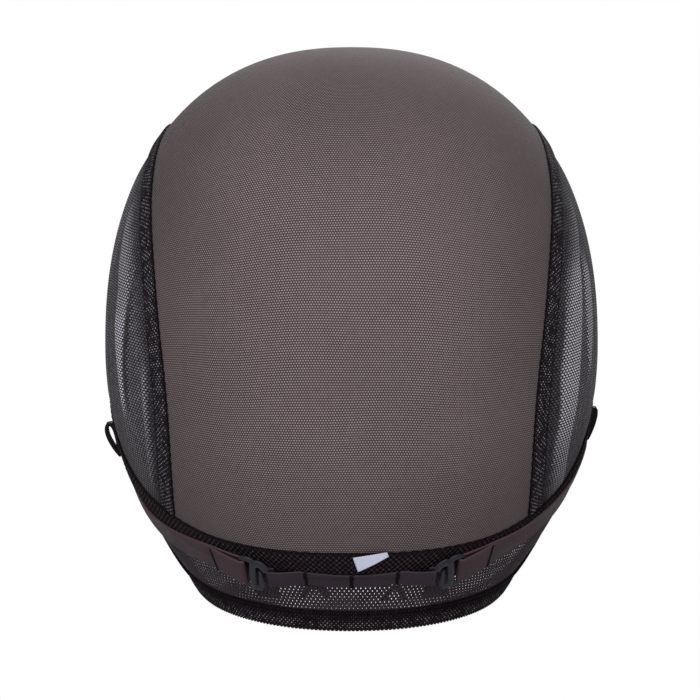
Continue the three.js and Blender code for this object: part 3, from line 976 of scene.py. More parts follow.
@dataclass(frozen=True, kw_only=True)
class DottedNet(Finish):
    """Close net with rows of small gaps, painted light where the tone says so: painted light seen through the
    net.

    Uneven says how much of a gap's light the mottle takes, steep how sharply, and calm how much less it takes
    where the tone is light.
    """

    roughness: float = 0.85
    sheen: float = 0.03
    scales: Span = (26.0, 520.0)
    yarn: Colour
    gap: Colour
    cloud: Colour
    gaps: Dots
    uneven: float
    steep: float = 0.0
    calm: float = 0.0
    cloud_share: float = 0.22
    depth: float = 0.08

    def paint(self, graph: FinishGraph) -> dict[str, Socket]:
        """Yarn and the gaps' painted light mixed by the dots, the tone and the mottle, then clouded, with the
        gaps sunk.

        Args:
            graph: The material's graph.

        Returns:
            Its colour and normal.
        """
        dots = graph.dots(self.gaps)
        mottle = graph.mottle(self.scales)
        tone = graph.tone()
        patchy = graph.math("MULTIPLY_ADD", tone, -self.calm * self.uneven, self.uneven)
        lost = graph.math("MULTIPLY", patchy, graph.ramp(mottle, (self.steep, 1 - self.steep), (1.0, 0.0)))
        light = graph.math("MULTIPLY", tone, graph.math("SUBTRACT", 1.0, lost))
        colour = graph.mix(graph.math("MULTIPLY", dots, light), self.yarn, self.gap)
        shade = graph.ramp(mottle, (0.0, 1.0), (0.0, self.cloud_share))
        return {
            "Base Color": graph.mix(shade, colour, self.cloud),
            "Normal": graph.bump(graph.math("SUBTRACT", 1.0, dots), self.depth),
        }


@dataclass(frozen=True, kw_only=True)
class Thread(Finish):
    """Yarn of the nets and of the stitches, slightly uneven in its dye, lighter where its tone says so."""

    roughness: float = 0.6
    gloss: float = 0.08
    scales: Span = (60.0, 900.0)
    dark: Colour
    light: Colour
    dye: Span = (0.6, 1.4)

    def paint(self, graph: FinishGraph) -> dict[str, Socket]:
        """Two shades mixed by the tone times the mottle."""
        dye = graph.ramp(graph.mottle(self.scales), (0.0, 1.0), self.dye)
        return {"Base Color": graph.mix(graph.math("MULTIPLY", graph.tone(), dye), self.dark, self.light)}


@dataclass(frozen=True, kw_only=True)
class KnitTape(Finish):
    """Black net tape: strands that catch a little light, dark eyelets, and pale specks of painted light in
    them where the tone says so.

    Wear and glints are spans: the mottle is read over the first of each pair and comes out as the second.
    """

    roughness: float = 0.75
    gloss: float = 0.04
    scales: Span = (420.0, 1100.0)
    eyelet: Colour
    strand: Colour
    light: Colour
    knit: Knit
    size: float
    softness: float = 0.08
    diamond: float = 1.3
    speck_size: float = 0.14
    speck_softness: float = 0.07
    spark: float
    wear: tuple[Span, Span] = ((0.2, 0.8), (0.4, 1.0))
    glints: tuple[Span, Span] = ((0.25, 0.75), (0.1, 1.0))
    edge_wear: float = 0.2
    depth: float = 0.2

    def paint(self, graph: FinishGraph) -> dict[str, Socket]:
        """Strands and eyelets mixed by the knit and its wear, darker at the tape's edges as painted shade,
        with specks of painted light in the eyelets.

        Args:
            graph: The material's graph.

        Returns:
            Its colour and normal.
        """
        mesh = {"pitch": self.knit.pitch, "row": self.knit.row}
        eyelets = graph.dots(Dots(**mesh, size=self.size, softness=self.softness, power=self.diamond))
        specks = graph.dots(Dots(**mesh, size=self.speck_size, softness=self.speck_softness))
        ridge = graph.math("SUBTRACT", 1.0, eyelets)
        mottle = graph.mottle(self.scales)
        tone = graph.tone()
        # Painted shade: the strands darken towards the tape's edges, where the tone falls.
        middle = graph.ramp(tone, (0.0, 1.0), (self.edge_wear, 1.0))
        worn = graph.math("MULTIPLY", graph.ramp(mottle, *self.wear), middle)
        knit = graph.mix(graph.math("MULTIPLY", ridge, worn), self.eyelet, self.strand)
        # Painted light: pale specks in the eyelets stand for light seen through them and for glints.
        sparks = graph.math("MULTIPLY", tone, self.spark)
        lit = graph.math("MULTIPLY", sparks, graph.ramp(mottle, *self.glints))
        return {
            "Base Color": graph.mix(graph.math("MULTIPLY", specks, lit), knit, self.light),
            "Normal": graph.bump(ridge, self.depth),
        }


@dataclass(frozen=True, kw_only=True)
class SatinRibbon(Finish):
    """Close woven ribbon: fine ribs across it, a soft shine and slightly rubbed edges."""

    roughness: float = 0.5
    gloss: float = 0.07
    scales: Span = (70.0, 1500.0)
    base: Colour
    rubbed: Colour
    half_width: float
    rib: float
    edge_from: float = 0.8
    edge_rub: float = 0.45
    patch_rub: float = 0.35
    groove_rub: float = 0.6
    shine: Span = (0.45, 0.62)
    depth: float = 0.05

    def paint(self, graph: FinishGraph) -> dict[str, Socket]:
        """Two shades mixed by the rubbing of the edges and of patches, less in the grooves between the ribs.

        Args:
            graph: The material's graph.

        Returns:
            Its colour, roughness and normal.
        """
        parts = graph.add("ShaderNodeSeparateXYZ", {0: graph.weave()})
        mottle = graph.mottle(self.scales)
        turns = graph.math("MULTIPLY", parts.outputs[0], FULL_TURN / self.rib)
        ribs = graph.math("MULTIPLY_ADD", graph.math("COSINE", turns), 0.5, 0.5)
        across = graph.math("ABSOLUTE", parts.outputs[1])
        edge = graph.ramp(across, (self.edge_from * self.half_width, self.half_width), (0.0, self.edge_rub))
        worn = graph.math("MULTIPLY_ADD", mottle, self.patch_rub, edge)
        share = graph.math("MULTIPLY", worn, graph.ramp(ribs, (0.0, 1.0), (self.groove_rub, 1.0)))
        return {
            "Base Color": graph.mix(share, self.base, self.rubbed),
            "Roughness": graph.ramp(mottle, (0.0, 1.0), self.shine),
            "Normal": graph.bump(ribs, self.depth),
        }


@dataclass(frozen=True, kw_only=True)
class MouldedPlastic(Finish):
    """Slate-black moulded plastic with a fine grain."""

    roughness: float = 0.45
    gloss: float = 0.2
    scales: Span = (160.0, 2600.0)
    dark: Colour
    light: Colour
    shine: Span = (0.34, 0.5)
    depth: float = 0.03

    def paint(self, graph: FinishGraph) -> dict[str, Socket]:
        """Colour, roughness and relief that all follow the mottle."""
        mottle = graph.mottle(self.scales)
        return {
            "Base Color": graph.mix(mottle, self.dark, self.light),
            "Roughness": graph.ramp(mottle, (0.0, 1.0), self.shine),
            "Normal": graph.bump(mottle, self.depth),
        }


class Wardrobe:
    """All finishes of the cap."""

    black: Colour = (0.0050, 0.0028, 0.0042)
    # pale: the colour of the tapes' specks of painted light.
    pale: Colour = (0.42, 0.41, 0.45)

    def __init__(self) -> None:
        """Builds every material once."""
        effects = EffectGroups()
        black, pale = self.black, self.pale
        # The crown's gap colour is painted light, seen through the net.
        self.crown = DottedNet(
            name="crown_stretch_net", yarn=(0.047, 0.034, 0.037), gap=(0.370, 0.292, 0.306),
            cloud=(0.080, 0.060, 0.065), uneven=0.3, gloss=0.08,
            gaps=Dots(pitch=0.786, row=0.75, size=0.28, softness=0.14, flatness=2.0)).build(effects)
        # The side net's near-white gap colour is painted light, seen through the sheer net.
        self.side_net = DottedNet(
            name="side_sheer_net", yarn=(0.006, 0.005, 0.007), gap=(0.90, 0.85, 0.95),
            cloud=(0.016, 0.014, 0.018), uneven=0.7, steep=0.25, calm=1.0, gloss=0.04,
            gaps=Dots(pitch=2.1, row=0.84, size=0.33, softness=0.14, flatness=2.0)).build(effects)
        self.nape_thread = Thread(
            name="nape_net_thread", dark=(0.013, 0.008, 0.012), light=(0.050, 0.037, 0.046)).build(effects)
        self.hem_thread = Thread(
            name="hem_net_thread", dark=black, light=(0.024, 0.016, 0.021)).build(effects)
        self.sewing = Thread(
            name="sewing_thread", dark=(0.003, 0.002, 0.003), light=(0.014, 0.010, 0.013)).build(effects)
        self.tacking = Thread(
            name="tacking_thread", dark=(0.001, 0.001, 0.001), light=(0.006, 0.004, 0.005)).build(effects)
        self.seam_tape = KnitTape(
            name="seam_tape_net", eyelet=black, strand=(0.055, 0.044, 0.052), light=pale,
            knit=SEAM_KNIT, size=0.41, spark=0.7).build(effects)
        self.nape_tape = KnitTape(
            name="nape_tape_knit", eyelet=black, strand=(0.095, 0.070, 0.080), light=pale,
            knit=NAPE_KNIT, size=0.41, spark=0.0).build(effects)
        self.hem = KnitTape(
            name="hem_net", eyelet=black, strand=(0.024, 0.017, 0.021), light=pale,
            knit=HEM_KNIT, size=0.38, spark=0.5).build(effects)
        self.ribbon = SatinRibbon(
            name="strap_satin", base=(0.043, 0.025, 0.032), rubbed=(0.080, 0.050, 0.060),
            half_width=5.1, rib=0.55).build(effects)
        self.loop_tape = SatinRibbon(
            name="loop_tape_weave", base=(0.026, 0.017, 0.024), rubbed=(0.050, 0.037, 0.047),
            half_width=3.1, rib=0.5).build(effects)
        self.ear_ribbon = SatinRibbon(
            name="ear_loop_ribbon", base=(0.004, 0.003, 0.004), rubbed=(0.012, 0.009, 0.011),
            half_width=3.0, rib=0.5).build(effects)
        self.label = SatinRibbon(
            name="label_tape", base=(0.45, 0.46, 0.58), rubbed=(0.60, 0.62, 0.73),
            half_width=6.0, rib=0.4).build(effects)
        self.plastic = MouldedPlastic(
            name="hook_plastic", dark=(0.010, 0.010, 0.014), light=(0.022, 0.023, 0.029)).build(effects)


@dataclass(frozen=True)
class Dresser:
    """Puts finished shapes into the scene under the body's empty, and hides the nodes that they stand for."""

    lines: CapLines
    wardrobe: Wardrobe

    def dress(
        self, name: str, solid: Solid, material: bpy.types.Material, slot: Slot, node: str | None = None
    ) -> bpy.types.Object:
        """Makes one piece.

        Args:
            name: Its name.
            solid: Its shape.
            material: Its finish.
            slot: A slot of the record; not used.
            node: The node that it stands for, if it stands for one.

        Returns:
            The piece.
        """
        piece = solid.to_object(name, self.lines.form.crown_height)
        piece.data.materials.append(material)
        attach(piece, BODY)
        if node:
            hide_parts(node)
        piece.data.calc_loop_triangles()
        LOG.info("%s: %d triangles", name, len(piece.data.loop_triangles))
        return piece

    def cut(self, piece: bpy.types.Object, flat: Span, area: float, held: Held, rests_on: list[str]) -> None:
        """Takes what a sheet of cloth is, and does nothing with it.

        Args:
            piece: The piece; not used.
            flat: Width and length of its cut in millimetres; not used.
            area: Its area on the cap in square metres; not used.
            held: How it is held; not used.
            rests_on: The nodes that it is sewn to; not used.
        """


def panel_area(points: Array, inside: Mask | bool = True) -> float:
    """Area of a grid's cells whose corners lie inside: the length of the cross product of a cell's two sides.

    Args:
        points: The grid's points in millimetres.
        inside: Which of them lie inside.

    Returns:
        The area in square metres.
    """
    along, across = np.diff(points, axis=0)[:, :-1], np.diff(points, axis=1)[:-1]
    cells = np.linalg.norm(np.cross(along, across), axis=-1)
    inside = np.broadcast_to(inside, points.shape[:2])
    whole = inside[:-1, :-1] & inside[1:, :-1] & inside[:-1, 1:] & inside[1:, 1:]
    return float(cells[whole].sum()) * MILLIMETRE**2


@dataclass
class CrownPanel:
    """The wide stretch panel from the brow to the nape."""

    dresser: Dresser
    outer: float = 1.0
    inner: float = 0.55
    columns: int = 170
    rows: int = 110
    # These take the gaps' painted light down: painted shade round the side, where the net is also less
    # stretched, towards the foot and at the top.
    stretch: Span = (25.0, 74.0)
    edge_tone: float = 0.5
    foot_loss: float = 0.34
    foot_from: Span = (12.0, 52.0)
    top_loss: float = 0.25
    top_from: Span = (55.0, 88.0)
    stray: float = 0.16
    sway: float = 2.0
    sway_length: float = 23.0
    stray_across: Span = (6.1, 13.7)
    stray_down: float = 8.3

    def build(self) -> None:
        """Builds the panel: lines of equal share between the seams, from the brow's pitch to the nape's.

        The rows of gaps stray down the panel by two waves, one that sways and one that slants. The gaps'
        painted light is less where the net goes round the side, where it is less stretched and as painted
        shade, and painted shade darkens them towards its foot and at its top.
        """
        lines = self.dresser.lines
        share = np.linspace(-1, 1, self.rows)
        brow, nape = lines.brow_pitch(share), lines.nape_pitch(share)
        pitch = brow + (nape - brow) * np.linspace(0, 1, self.columns)[:, None]
        points = lines.form.pitch_point(share * (lines.seam.read(pitch) - lines.seam_gap), pitch)
        middle = self.rows // 2
        down = run_lengths(points[:, middle])[:, None]
        across = run_lengths(points)
        across -= across[:, middle:middle + 1]
        swaying = np.sin(across / self.stray_across[0] + self.sway * np.sin(down / self.sway_length))
        slanting = np.sin(down / self.stray_down - across / self.stray_across[1])
        weave = np.stack([across, down + self.stray * (swaying + slanting)], -1)
        # Painted shade: the tone falls round the side, where the net is also less stretched, towards the foot
        # and at the top.
        stretched = 1 - (1 - self.edge_tone) * ease(np.abs(across), *self.stretch)
        foot = self.foot_loss * ease(-points[..., 2], *self.foot_from)
        top = self.top_loss * ease(points[..., 2], *self.top_from)
        outer, inner = lines.form.lifted(points, self.outer), lines.form.lifted(points, self.inner)
        solid = shell(outer, inner, weave, tone=stretched * (1 - foot - top))
        piece = self.dresser.dress(
            "crown_net", solid, self.dresser.wardrobe.crown, Slot.CROWN_NET, "crown_panel")
        self.dresser.cut(
            piece, (np.ptp(across), down[-1, 0]), panel_area(points), Held.STRETCHED,
            ["seam_tape_left", "seam_tape_right", "hem_binding"])


@dataclass(frozen=True)
class NetYarn:
    """Sizes of a net: the spacing of its threads, the height of a mesh and the thread's own section.

    Touch says how far a thread swings towards its neighbour, as a share of half the spacing. Around is the
    radius of the form that turns the spacing into degrees.
    """

    spacing: float
    mesh: float
    half_width: float
    half_height: float
    touch: float
    around: float
    sides: int = 4


def zigzag_net(
    form: CapForm,
    yarn: NetYarn,
    azimuths: Span,
    rises: Span,
    foot: Callable[[Array], Array],
    inside: Callable[[Array, Array], Mask],
    lift: float,
    widths: Callable[[Array, Array], Array] | None = None,
) -> Solid:
    """A net of upright threads that zigzag against their neighbours and meet them at the knots.

    Thread i in half mesh k lies at its own azimuth plus or minus half a spacing, with the sign of (-1)^(i+k),
    times the touch, so each thread meets its left and right neighbours by turns.

    Args:
        form: The form that the net lies on.
        yarn: The net's sizes.
        azimuths: First and last azimuth.
        rises: Lowest and highest rise.
        foot: Height line from which the rises count, by azimuth.
        inside: Which places belong to the net, by azimuth and height.
        lift: Distance off the form.
        widths: Thread width as a share of the full, by azimuth and height, or the full one if left out.

    Returns:
        The net's threads as closed tubes.
    """
    spacing = math.degrees(yarn.spacing / yarn.around)
    base = np.arange(azimuths[0], azimuths[1] + spacing / 2, spacing)[:, None]
    halves = np.arange(int((rises[1] - rises[0]) / (yarn.mesh / 2)) + 1)
    rise = rises[0] + halves * yarn.mesh / 2
    sign = 1 - 2 * ((np.arange(len(base))[:, None] + halves) % 2)
    height = foot(base) + rise
    azimuth = base + sign * spacing / 2 * yarn.touch
    points = form.point(azimuth, height)
    normals = form.normal(points)
    within = inside(azimuth, height)
    ways = unit(np.gradient(form.point(base, height), axis=1))
    keep = within[:, :-1] & within[:, 1:]
    wide = yarn.half_width * (1.0 if widths is None else widths(azimuth, height))
    return tubes(points + normals * lift, normals, ways, wide, yarn.half_height, yarn.sides, keep)


@dataclass(frozen=True)
class Streak:
    """A fold of a side net with a painted tone: the azimuths of its two edges by height, and its tone.
    A high tone paints light coming through the thin net and a highlight on the fold, and a low one paints the
    net dark.
    """

    heights: tuple[float, ...]
    inner: tuple[float, ...]
    outer: tuple[float, ...]
    tone: float
    edge: float = 1.6
    fade: float = 5.0

    def share(self, azimuth: Array, height: Array) -> Array:
        """How far places lie within it: 1 inside, 0 outside, with soft edges and ends.

        Args:
            azimuth: Azimuths without their sign.
            height: Heights.

        Returns:
            The share at each place.
        """
        inner = azimuth - Line(self.heights, self.inner).read(height)
        outer = Line(self.heights, self.outer).read(height) - azimuth
        within = ease(inner, -self.edge / 2, self.edge / 2) * ease(outer, -self.edge / 2, self.edge / 2)
        foot, top = self.heights[0], self.heights[-1]
        begun = ease(height, foot - self.fade, foot + self.fade)
        return within * begun * (1 - ease(height, top - self.fade, top + self.fade))


# Painted light and shade of the side nets' streaks, by side.
LEFT_STREAKS = (
    Streak(heights=(-44, -20, 0, 16, 24, 32, 42, 52), inner=(30,) * 8,
           outer=(46, 45, 44.6, 46, 48.6, 51.4, 53, 56), tone=0.13),
    Streak(heights=(14, 21, 26, 32, 42, 48), inner=(55.5, 55, 56, 54, 54.5, 57),
           outer=(63.5, 63, 64.5, 66, 68, 69), tone=0.66),
    Streak(heights=(25, 32, 43), inner=(53.7, 53.2, 54.8), outer=(55.4, 54.8, 56.6), tone=0.85),
    Streak(heights=(-16, -9, 0, 9, 16), inner=(58, 57.5, 57.5, 56.5, 55.5),
           outer=(60, 60.5, 62, 63.5, 63.2), tone=0.9),
    Streak(heights=(-40, -36, -26, -17, -4, 3), inner=(49.6, 48.6, 46.2, 45.6, 45, 45.2),
           outer=(52.5, 51.6, 49, 47.8, 47.2, 46.4), tone=0.9),
    Streak(heights=(-14, 0, 12, 20), inner=(55.2, 54.6, 53.4, 52.4), outer=(57, 56.8, 55.8, 54.6), tone=0.12),
)
RIGHT_STREAKS = (
    Streak(heights=(-46, -27, -14, -2, 10, 19, 30, 44, 54), inner=(30,) * 9,
           outer=(51, 47.6, 47.6, 46.8, 48.6, 49.6, 50.6, 52.6, 56.6), tone=0.13),
    Streak(heights=(28, 34, 44, 52), inner=(51, 51, 53, 57), outer=(61, 64, 69, 70), tone=0.58),
    Streak(heights=(-42, -27, -14, -2, 10, 19, 30), inner=(51, 48, 48, 47, 49, 50, 51),
           outer=(62, 56.5, 56.7, 57.2, 58.5, 60, 62), tone=0.88),
    Streak(heights=(-6, 8, 20, 30), inner=(65, 62.6, 62.8, 64), outer=(66, 68.5, 69.8, 69.5), tone=0.8),
)


@dataclass
class SidePanels:
    """The two sheer panels beside the crown, softly gathered."""

    dresser: Dresser
    columns: int = 200
    rows: int = 110
    azimuths: Span = (34.0, 152.0)
    tries: int = 2000
    seam_gap: float = 0.3
    foot_gap: float = 0.2
    foot_tuck: float = 0.8
    lift: float = 0.5
    wall: float = 0.35
    turned_edge: Span = (2.5, 7.5)
    edge_tone: float = 0.10
    plain_tone: float = 0.32
    # These lower the gaps' painted light as painted shade round the side and towards the bottom, and paint
    # the fold crests lighter as a painted highlight.
    rim_tone: float = 0.22
    rim_from: Span = (58.0, 68.0)
    low_loss: float = 0.48
    low_from: Span = (8.0, 42.0)
    fold_tone: float = 0.3
    fold_degrees: float = 9.5
    fold_lean: float = 0.0035
    fold_from: Span = (66.0, 80.0)
    fold_height: float = 0.5
    stray: float = 0.35
    stray_degrees: float = 37.0
    stray_lean: float = 0.02
    loose_from_seam: Span = (0.5, 7.0)
    loose_from_foot: Span = (0.5, 12.0)

    def foot(self, azimuth: Array) -> Array:
        """Height of the lower edge: just above the nape seam, and past the ear tucked behind the hem."""
        lines = self.dresser.lines
        return lines.side_foot(azimuth) + np.where(azimuth <= lines.nape_end, self.foot_gap, -self.foot_tuck)

    def top(self, azimuth: Array) -> Array:
        """Height at which the panel meets the crown seam, by halving.

        Args:
            azimuth: Azimuths of its columns.

        Returns:
            The height of each column's top.
        """
        lines = self.dresser.lines

        def beside(height: Array) -> Mask:
            """Whether a column is still beside the crown seam at a height."""
            return lines.past_seam(lines.form.point(azimuth, height)) > self.seam_gap

        return halved(self.foot(azimuth), np.full(np.shape(azimuth), lines.form.crown_height), beside)

    def grid(self) -> tuple[Array, Array]:
        """Columns between the panel's two points, each by even steps from its foot to the seam.

        Columns crowd towards the points: they are the mean of even steps and of steps along a half turn.

        Returns:
            Azimuths and heights of the grid.
        """
        tried = np.linspace(*self.azimuths, self.tries)
        whole = tried[self.top(tried) > self.foot(tried) + self.seam_gap]
        even = np.linspace(0, 1, self.columns)
        crowded = (1 - np.cos(np.linspace(0, math.pi, self.columns))) / 2
        azimuth = (whole[0] + (whole[-1] - whole[0]) * (even + crowded) / 2)[:, None]
        low = self.foot(azimuth)
        height = low + (self.top(azimuth) - low) * np.linspace(0, 1, self.rows)[None, :]
        return np.broadcast_to(azimuth, height.shape), height

    def build(self) -> None:
        """Builds both panels: a thin wall on the form, raised in its folds and dark at its turned edge.

        The front half is gathered in folds from 0 to 1: uneven waves that lean with the crown seam, painted
        lighter on their crests as a painted highlight. Streaks paint light coming through the thin net at its
        folds, and the tone is taken down round the side and towards the bottom as painted shade.
        """
        lines = self.dresser.lines
        azimuth, height = self.grid()
        points = lines.form.point(azimuth, height)
        past = lines.past_seam(points)
        above = height - lines.side_foot(azimuth)
        loose = ease(past, *self.loose_from_seam) * ease(above, *self.loose_from_foot)
        uneven = self.stray * np.sin(FULL_TURN * azimuth / self.stray_degrees + self.stray_lean * height)
        wave = np.cos(FULL_TURN * (azimuth / self.fold_degrees + self.fold_lean * height + uneven))
        folds = ((1 + wave) / 2) ** 2 * ease(azimuth, *self.fold_from)
        inner = ease(past, *self.turned_edge)
        # Painted shade: the plain tone falls round the side.
        plain = self.plain_tone + (self.rim_tone - self.plain_tone) * ease(azimuth, *self.rim_from)
        weave = np.stack(
            [np.radians(azimuth) * lines.form.half_length, height[:, :1] + run_lengths(points)], -1)
        flat = (np.ptp(points[..., 1]), np.ptp(points[..., 2]))
        for side, streaks in ((Side.LEFT, LEFT_STREAKS), (Side.RIGHT, RIGHT_STREAKS)):
            # Painted highlight: fold crests are painted lighter, and streaks paint light coming through the
            # thin net.
            light = plain + self.fold_tone * folds
            raised = folds
            for streak in streaks:
                share = streak.share(azimuth, height)
                light = light + (streak.tone - light) * share
                raised = np.maximum(raised, share)
            tone = self.edge_tone + (light - self.edge_tone) * inner
            # Painted shade: the tone falls towards the bottom.
            tone = tone * (1 - self.low_loss * ease(-height, *self.low_from))
            placed = points * (side.value, 1, 1)
            low = self.lift + self.fold_height * raised * loose
            under = lines.form.lifted(placed, low)
            solid = shell(lines.form.lifted(placed, low + self.wall), under, weave, tone=tone)
            name, node = f"side_net_{side.word}", f"side_mesh_{side.word}"
            piece = self.dresser.dress(name, solid, self.dresser.wardrobe.side_net, Slot.SHEER_NET, node)
            self.dresser.cut(
                piece, flat, panel_area(under), Held.GATHERED,
                [f"seam_tape_{side.word}", "nape_tape", "hem_binding"])


@dataclass(frozen=True)
class Tape:
    """A knitted tape along a seam: a thin wall with the knit's relief, finely waved edges and stitches.

    Lifts are its two faces' distances off the form, and a step is the size of its own faces. The edges' wave
    and rounding grow with a power of the share across. The tone falls off over the span called light, which
    paints the knit's strands darker at the edges as painted shade and fades its specks of painted light.
    """

    width: float
    knit: Knit
    step: float
    shift: float = 0.0
    lifts: Span = (1.06, 1.7)
    wave: float = 0.12
    wave_power: int = 4
    rounding: float = 0.35
    rounding_power: int = 6
    light: Span = (0.66, 0.95)
    stitch: Stitch = Stitch(length=1.5, radius=0.14)
    stitch_pitch: float = 2.3
    stitch_inset: float = 0.8
    stitch_sink: float = 0.25

    def wall(self, track: Track, ends: Span) -> Solid:
        """The tape's wall: a grid along and across the track, with the knit's height on its outer face.

        Args:
            track: The seam that it follows.
            ends: Where it starts and stops along the track.

        Returns:
            The wall.
        """
        along = np.linspace(*ends, int((ends[1] - ends[0]) / self.step) + 1)[:, None]
        share = np.linspace(-1, 1, int(self.width / self.step) + 1)[None, :]
        size = np.abs(share)
        wave = self.wave * np.sin(FULL_TURN * along / (2 * self.knit.pitch)) * size**self.wave_power
        flat = share * self.width / 2
        across = flat + wave * np.sign(share)
        lift = self.lifts[1] - self.rounding * size**self.rounding_power + self.knit.relief(along, across)
        outer = track.place(along, across + self.shift, lift)
        inner = track.place(along, across + self.shift, self.lifts[0])
        weave = np.stack(np.broadcast_arrays(along, flat), -1)
        # The tone is painted light and shade: full in the middle, falling towards the edges.
        return shell(outer, inner, weave, tone=1 - ease(size, *self.light))

    def edge_stitches(self, track: Track, ends: Span) -> Solid:
        """A row of stitches along each edge.

        Args:
            track: The seam that the tape follows.
            ends: Where the tape starts and stops along the track.

        Returns:
            Both rows.
        """
        along = np.arange(ends[0] + self.stitch_pitch, ends[1] - self.stitch_pitch, self.stitch_pitch)
        across = self.width / 2 - self.stitch_inset
        lift = self.lifts[1] - self.stitch_sink
        return joined([self.stitch.sewn(track, along, self.shift + sign * across, lift) for sign in (-1, 1)])


@dataclass
class Tapes:
    """The black tapes over the crown seams and along the nape, with their stitching."""

    dresser: Dresser
    seam: Tape = Tape(width=7.2, knit=SEAM_KNIT, step=0.4)
    nape: Tape = Tape(width=9.4, knit=NAPE_KNIT, step=0.35, shift=-1.1)
    seam_start: float = 4.5
    seam_stop: float = 0.8

    def build(self) -> None:
        """Builds the three tapes and their stitches."""
        lines, wardrobe, dress = self.dresser.lines, self.dresser.wardrobe, self.dresser.dress
        sewn = []
        for side in Side:
            track = lines.seam_track(side)
            ends = (self.seam_start, track.ends[1] - self.seam_stop)
            wall = self.seam.wall(track, ends)
            name, node = f"seam_tape_knit_{side.word}", f"seam_tape_{side.word}"
            dress(name, wall, wardrobe.seam_tape, Slot.BLACK_TAPE, node)
            sewn.append(self.seam.edge_stitches(track, ends))
        track = lines.nape_track()
        wall = self.nape.wall(track, track.ends)
        dress("nape_tape_knit", wall, wardrobe.nape_tape, Slot.BLACK_TAPE, "nape_tape")
        sewn.append(self.nape.edge_stitches(track, track.ends))
        dress("tape_stitches", joined(sewn), wardrobe.sewing, Slot.BLACK_TAPE)


@dataclass(frozen=True)
class Arch:
    """A curved patch: its middle and half width in degrees, the height of its feet and its rise."""

    azimuth: float
    half_width: float
    foot: float
    rise: float


@dataclass
class NapeNet:
    """The open net under the nape tape, with the doubled patches that show through it."""

    dresser: Dresser
    yarn: NetYarn = NetYarn(
        spacing=0.66, mesh=2.1, half_width=0.475, half_height=0.12, touch=0.7, around=63.0)
    lift: float = 0.72
    side_share: float = 0.05
    side_from: Span = (18.0, 40.0)
    uneven: float = 0.04
    wander: Span = (4.7, 3.1)
    end: float = 106.0
    levels: Span = (-82.0, -10.0)
    measure_step: float = 0.5
    seam_gap: float = 0.2
    hem_lap: float = 1.8
    depth: float = 52.0
    patch_lift: float = 0.12
    arches: tuple[Arch, ...] = (
        Arch(azimuth=-9.6, half_width=3.2, foot=-71.0, rise=4.8),
        Arch(azimuth=11.6, half_width=2.6, foot=-71.6, rise=4.4),
    )
    arch_ribbon: Ribbon = Ribbon(width=1.9, wall=0.2)
    arch_margin: float = 0.05
    arch_points: int = 60
    tab_azimuth: float = 23.8
    tab_heights: Span = (-71.5, -58.5)
    tab_ribbon: Ribbon = Ribbon(width=9.2, wall=0.2)
    tab_points: int = 24
    tab_samples: int = 40

    def inside(self, azimuth: Array, height: Array) -> Mask:
        """Places between the nape seam and the hem."""
        lines = self.dresser.lines
        below_seam = height < lines.nape_height(azimuth) - self.seam_gap
        return below_seam & (height > lines.hem_top(azimuth) - self.hem_lap)

    def widths(self, azimuth: Array, height: Array) -> Array:
        """Thread width as a share of the full: more towards the ears, with slow waves that cross.

        Args:
            azimuth: Azimuths of the threads' points.
            height: Their heights.

        Returns:
            The share at each point.
        """
        first = np.sin(azimuth / self.wander[0] + height / self.wander[1])
        second = np.sin(azimuth / self.wander[1] - height)
        wider = self.side_share * ease(np.abs(azimuth), *self.side_from)
        return 1 + wider + self.uneven * (first + second)

    def patches(self) -> Solid:
        """The patches: bands along half an ellipse, and upright tabs behind the hooks up to the nape tape.

        Returns:
            All of them.
        """
        form, found = self.dresser.lines.form, []

        def add(points: Array, band: Ribbon, steps: int) -> None:
            """Adds a flat patch behind the net, along a line of points on the form."""
            track = Track(form, points)
            line = np.stack([np.linspace(*track.ends, steps), np.full(steps, self.patch_lift)], -1)
            found.append(band.laid(track, line))

        angle = np.linspace(self.arch_margin, math.pi - self.arch_margin, self.arch_points)
        for arch in self.arches:
            azimuth = arch.azimuth - arch.half_width * np.cos(angle)
            points = form.point(azimuth, arch.foot + arch.rise * np.sin(angle))
            add(points, self.arch_ribbon, self.arch_points)
        heights = np.linspace(*self.tab_heights, self.tab_samples)
        for side in Side:
            points = form.point(np.full(self.tab_samples, side.value * self.tab_azimuth), heights)
            add(points, self.tab_ribbon, self.tab_points)
        return joined(found)

    def build(self) -> None:
        """Builds the net from the nape seam down to the hem, and its patches."""
        lines, wardrobe = self.dresser.lines, self.dresser.wardrobe
        azimuths = (-self.end, self.end)
        net = zigzag_net(
            lines.form, self.yarn, azimuths, self.levels, np.zeros_like, self.inside, self.lift, self.widths)
        piece = self.dresser.dress("nape_net", net, wardrobe.nape_thread, Slot.SHEER_NET, "nape_mesh")
        steps = [np.arange(*span, self.measure_step) for span in (azimuths, self.levels)]
        azimuth, height = np.meshgrid(*steps, indexing="ij")
        area = panel_area(lines.form.point(azimuth, height), self.inside(azimuth, height))
        flat = (np.ptp(lines.nape_track().ends), self.depth)
        self.dresser.cut(piece, flat, area, Held.STRETCHED, ["nape_tape", "hem_binding"])
        self.dresser.dress("nape_patches", self.patches(), wardrobe.loop_tape, Slot.SHEER_NET)


@dataclass(frozen=True)
class Bump:
    """A ridge along a band, or a groove where its height is below zero: its height, place and spread."""

    height: float
    at: float
    spread: float


@dataclass(frozen=True)
class EdgeLayer:
    """A layer of the hem's open edge: how far round it is shifted, its lowest rise and its lift."""

    shift: float
    low: float
    lift: float


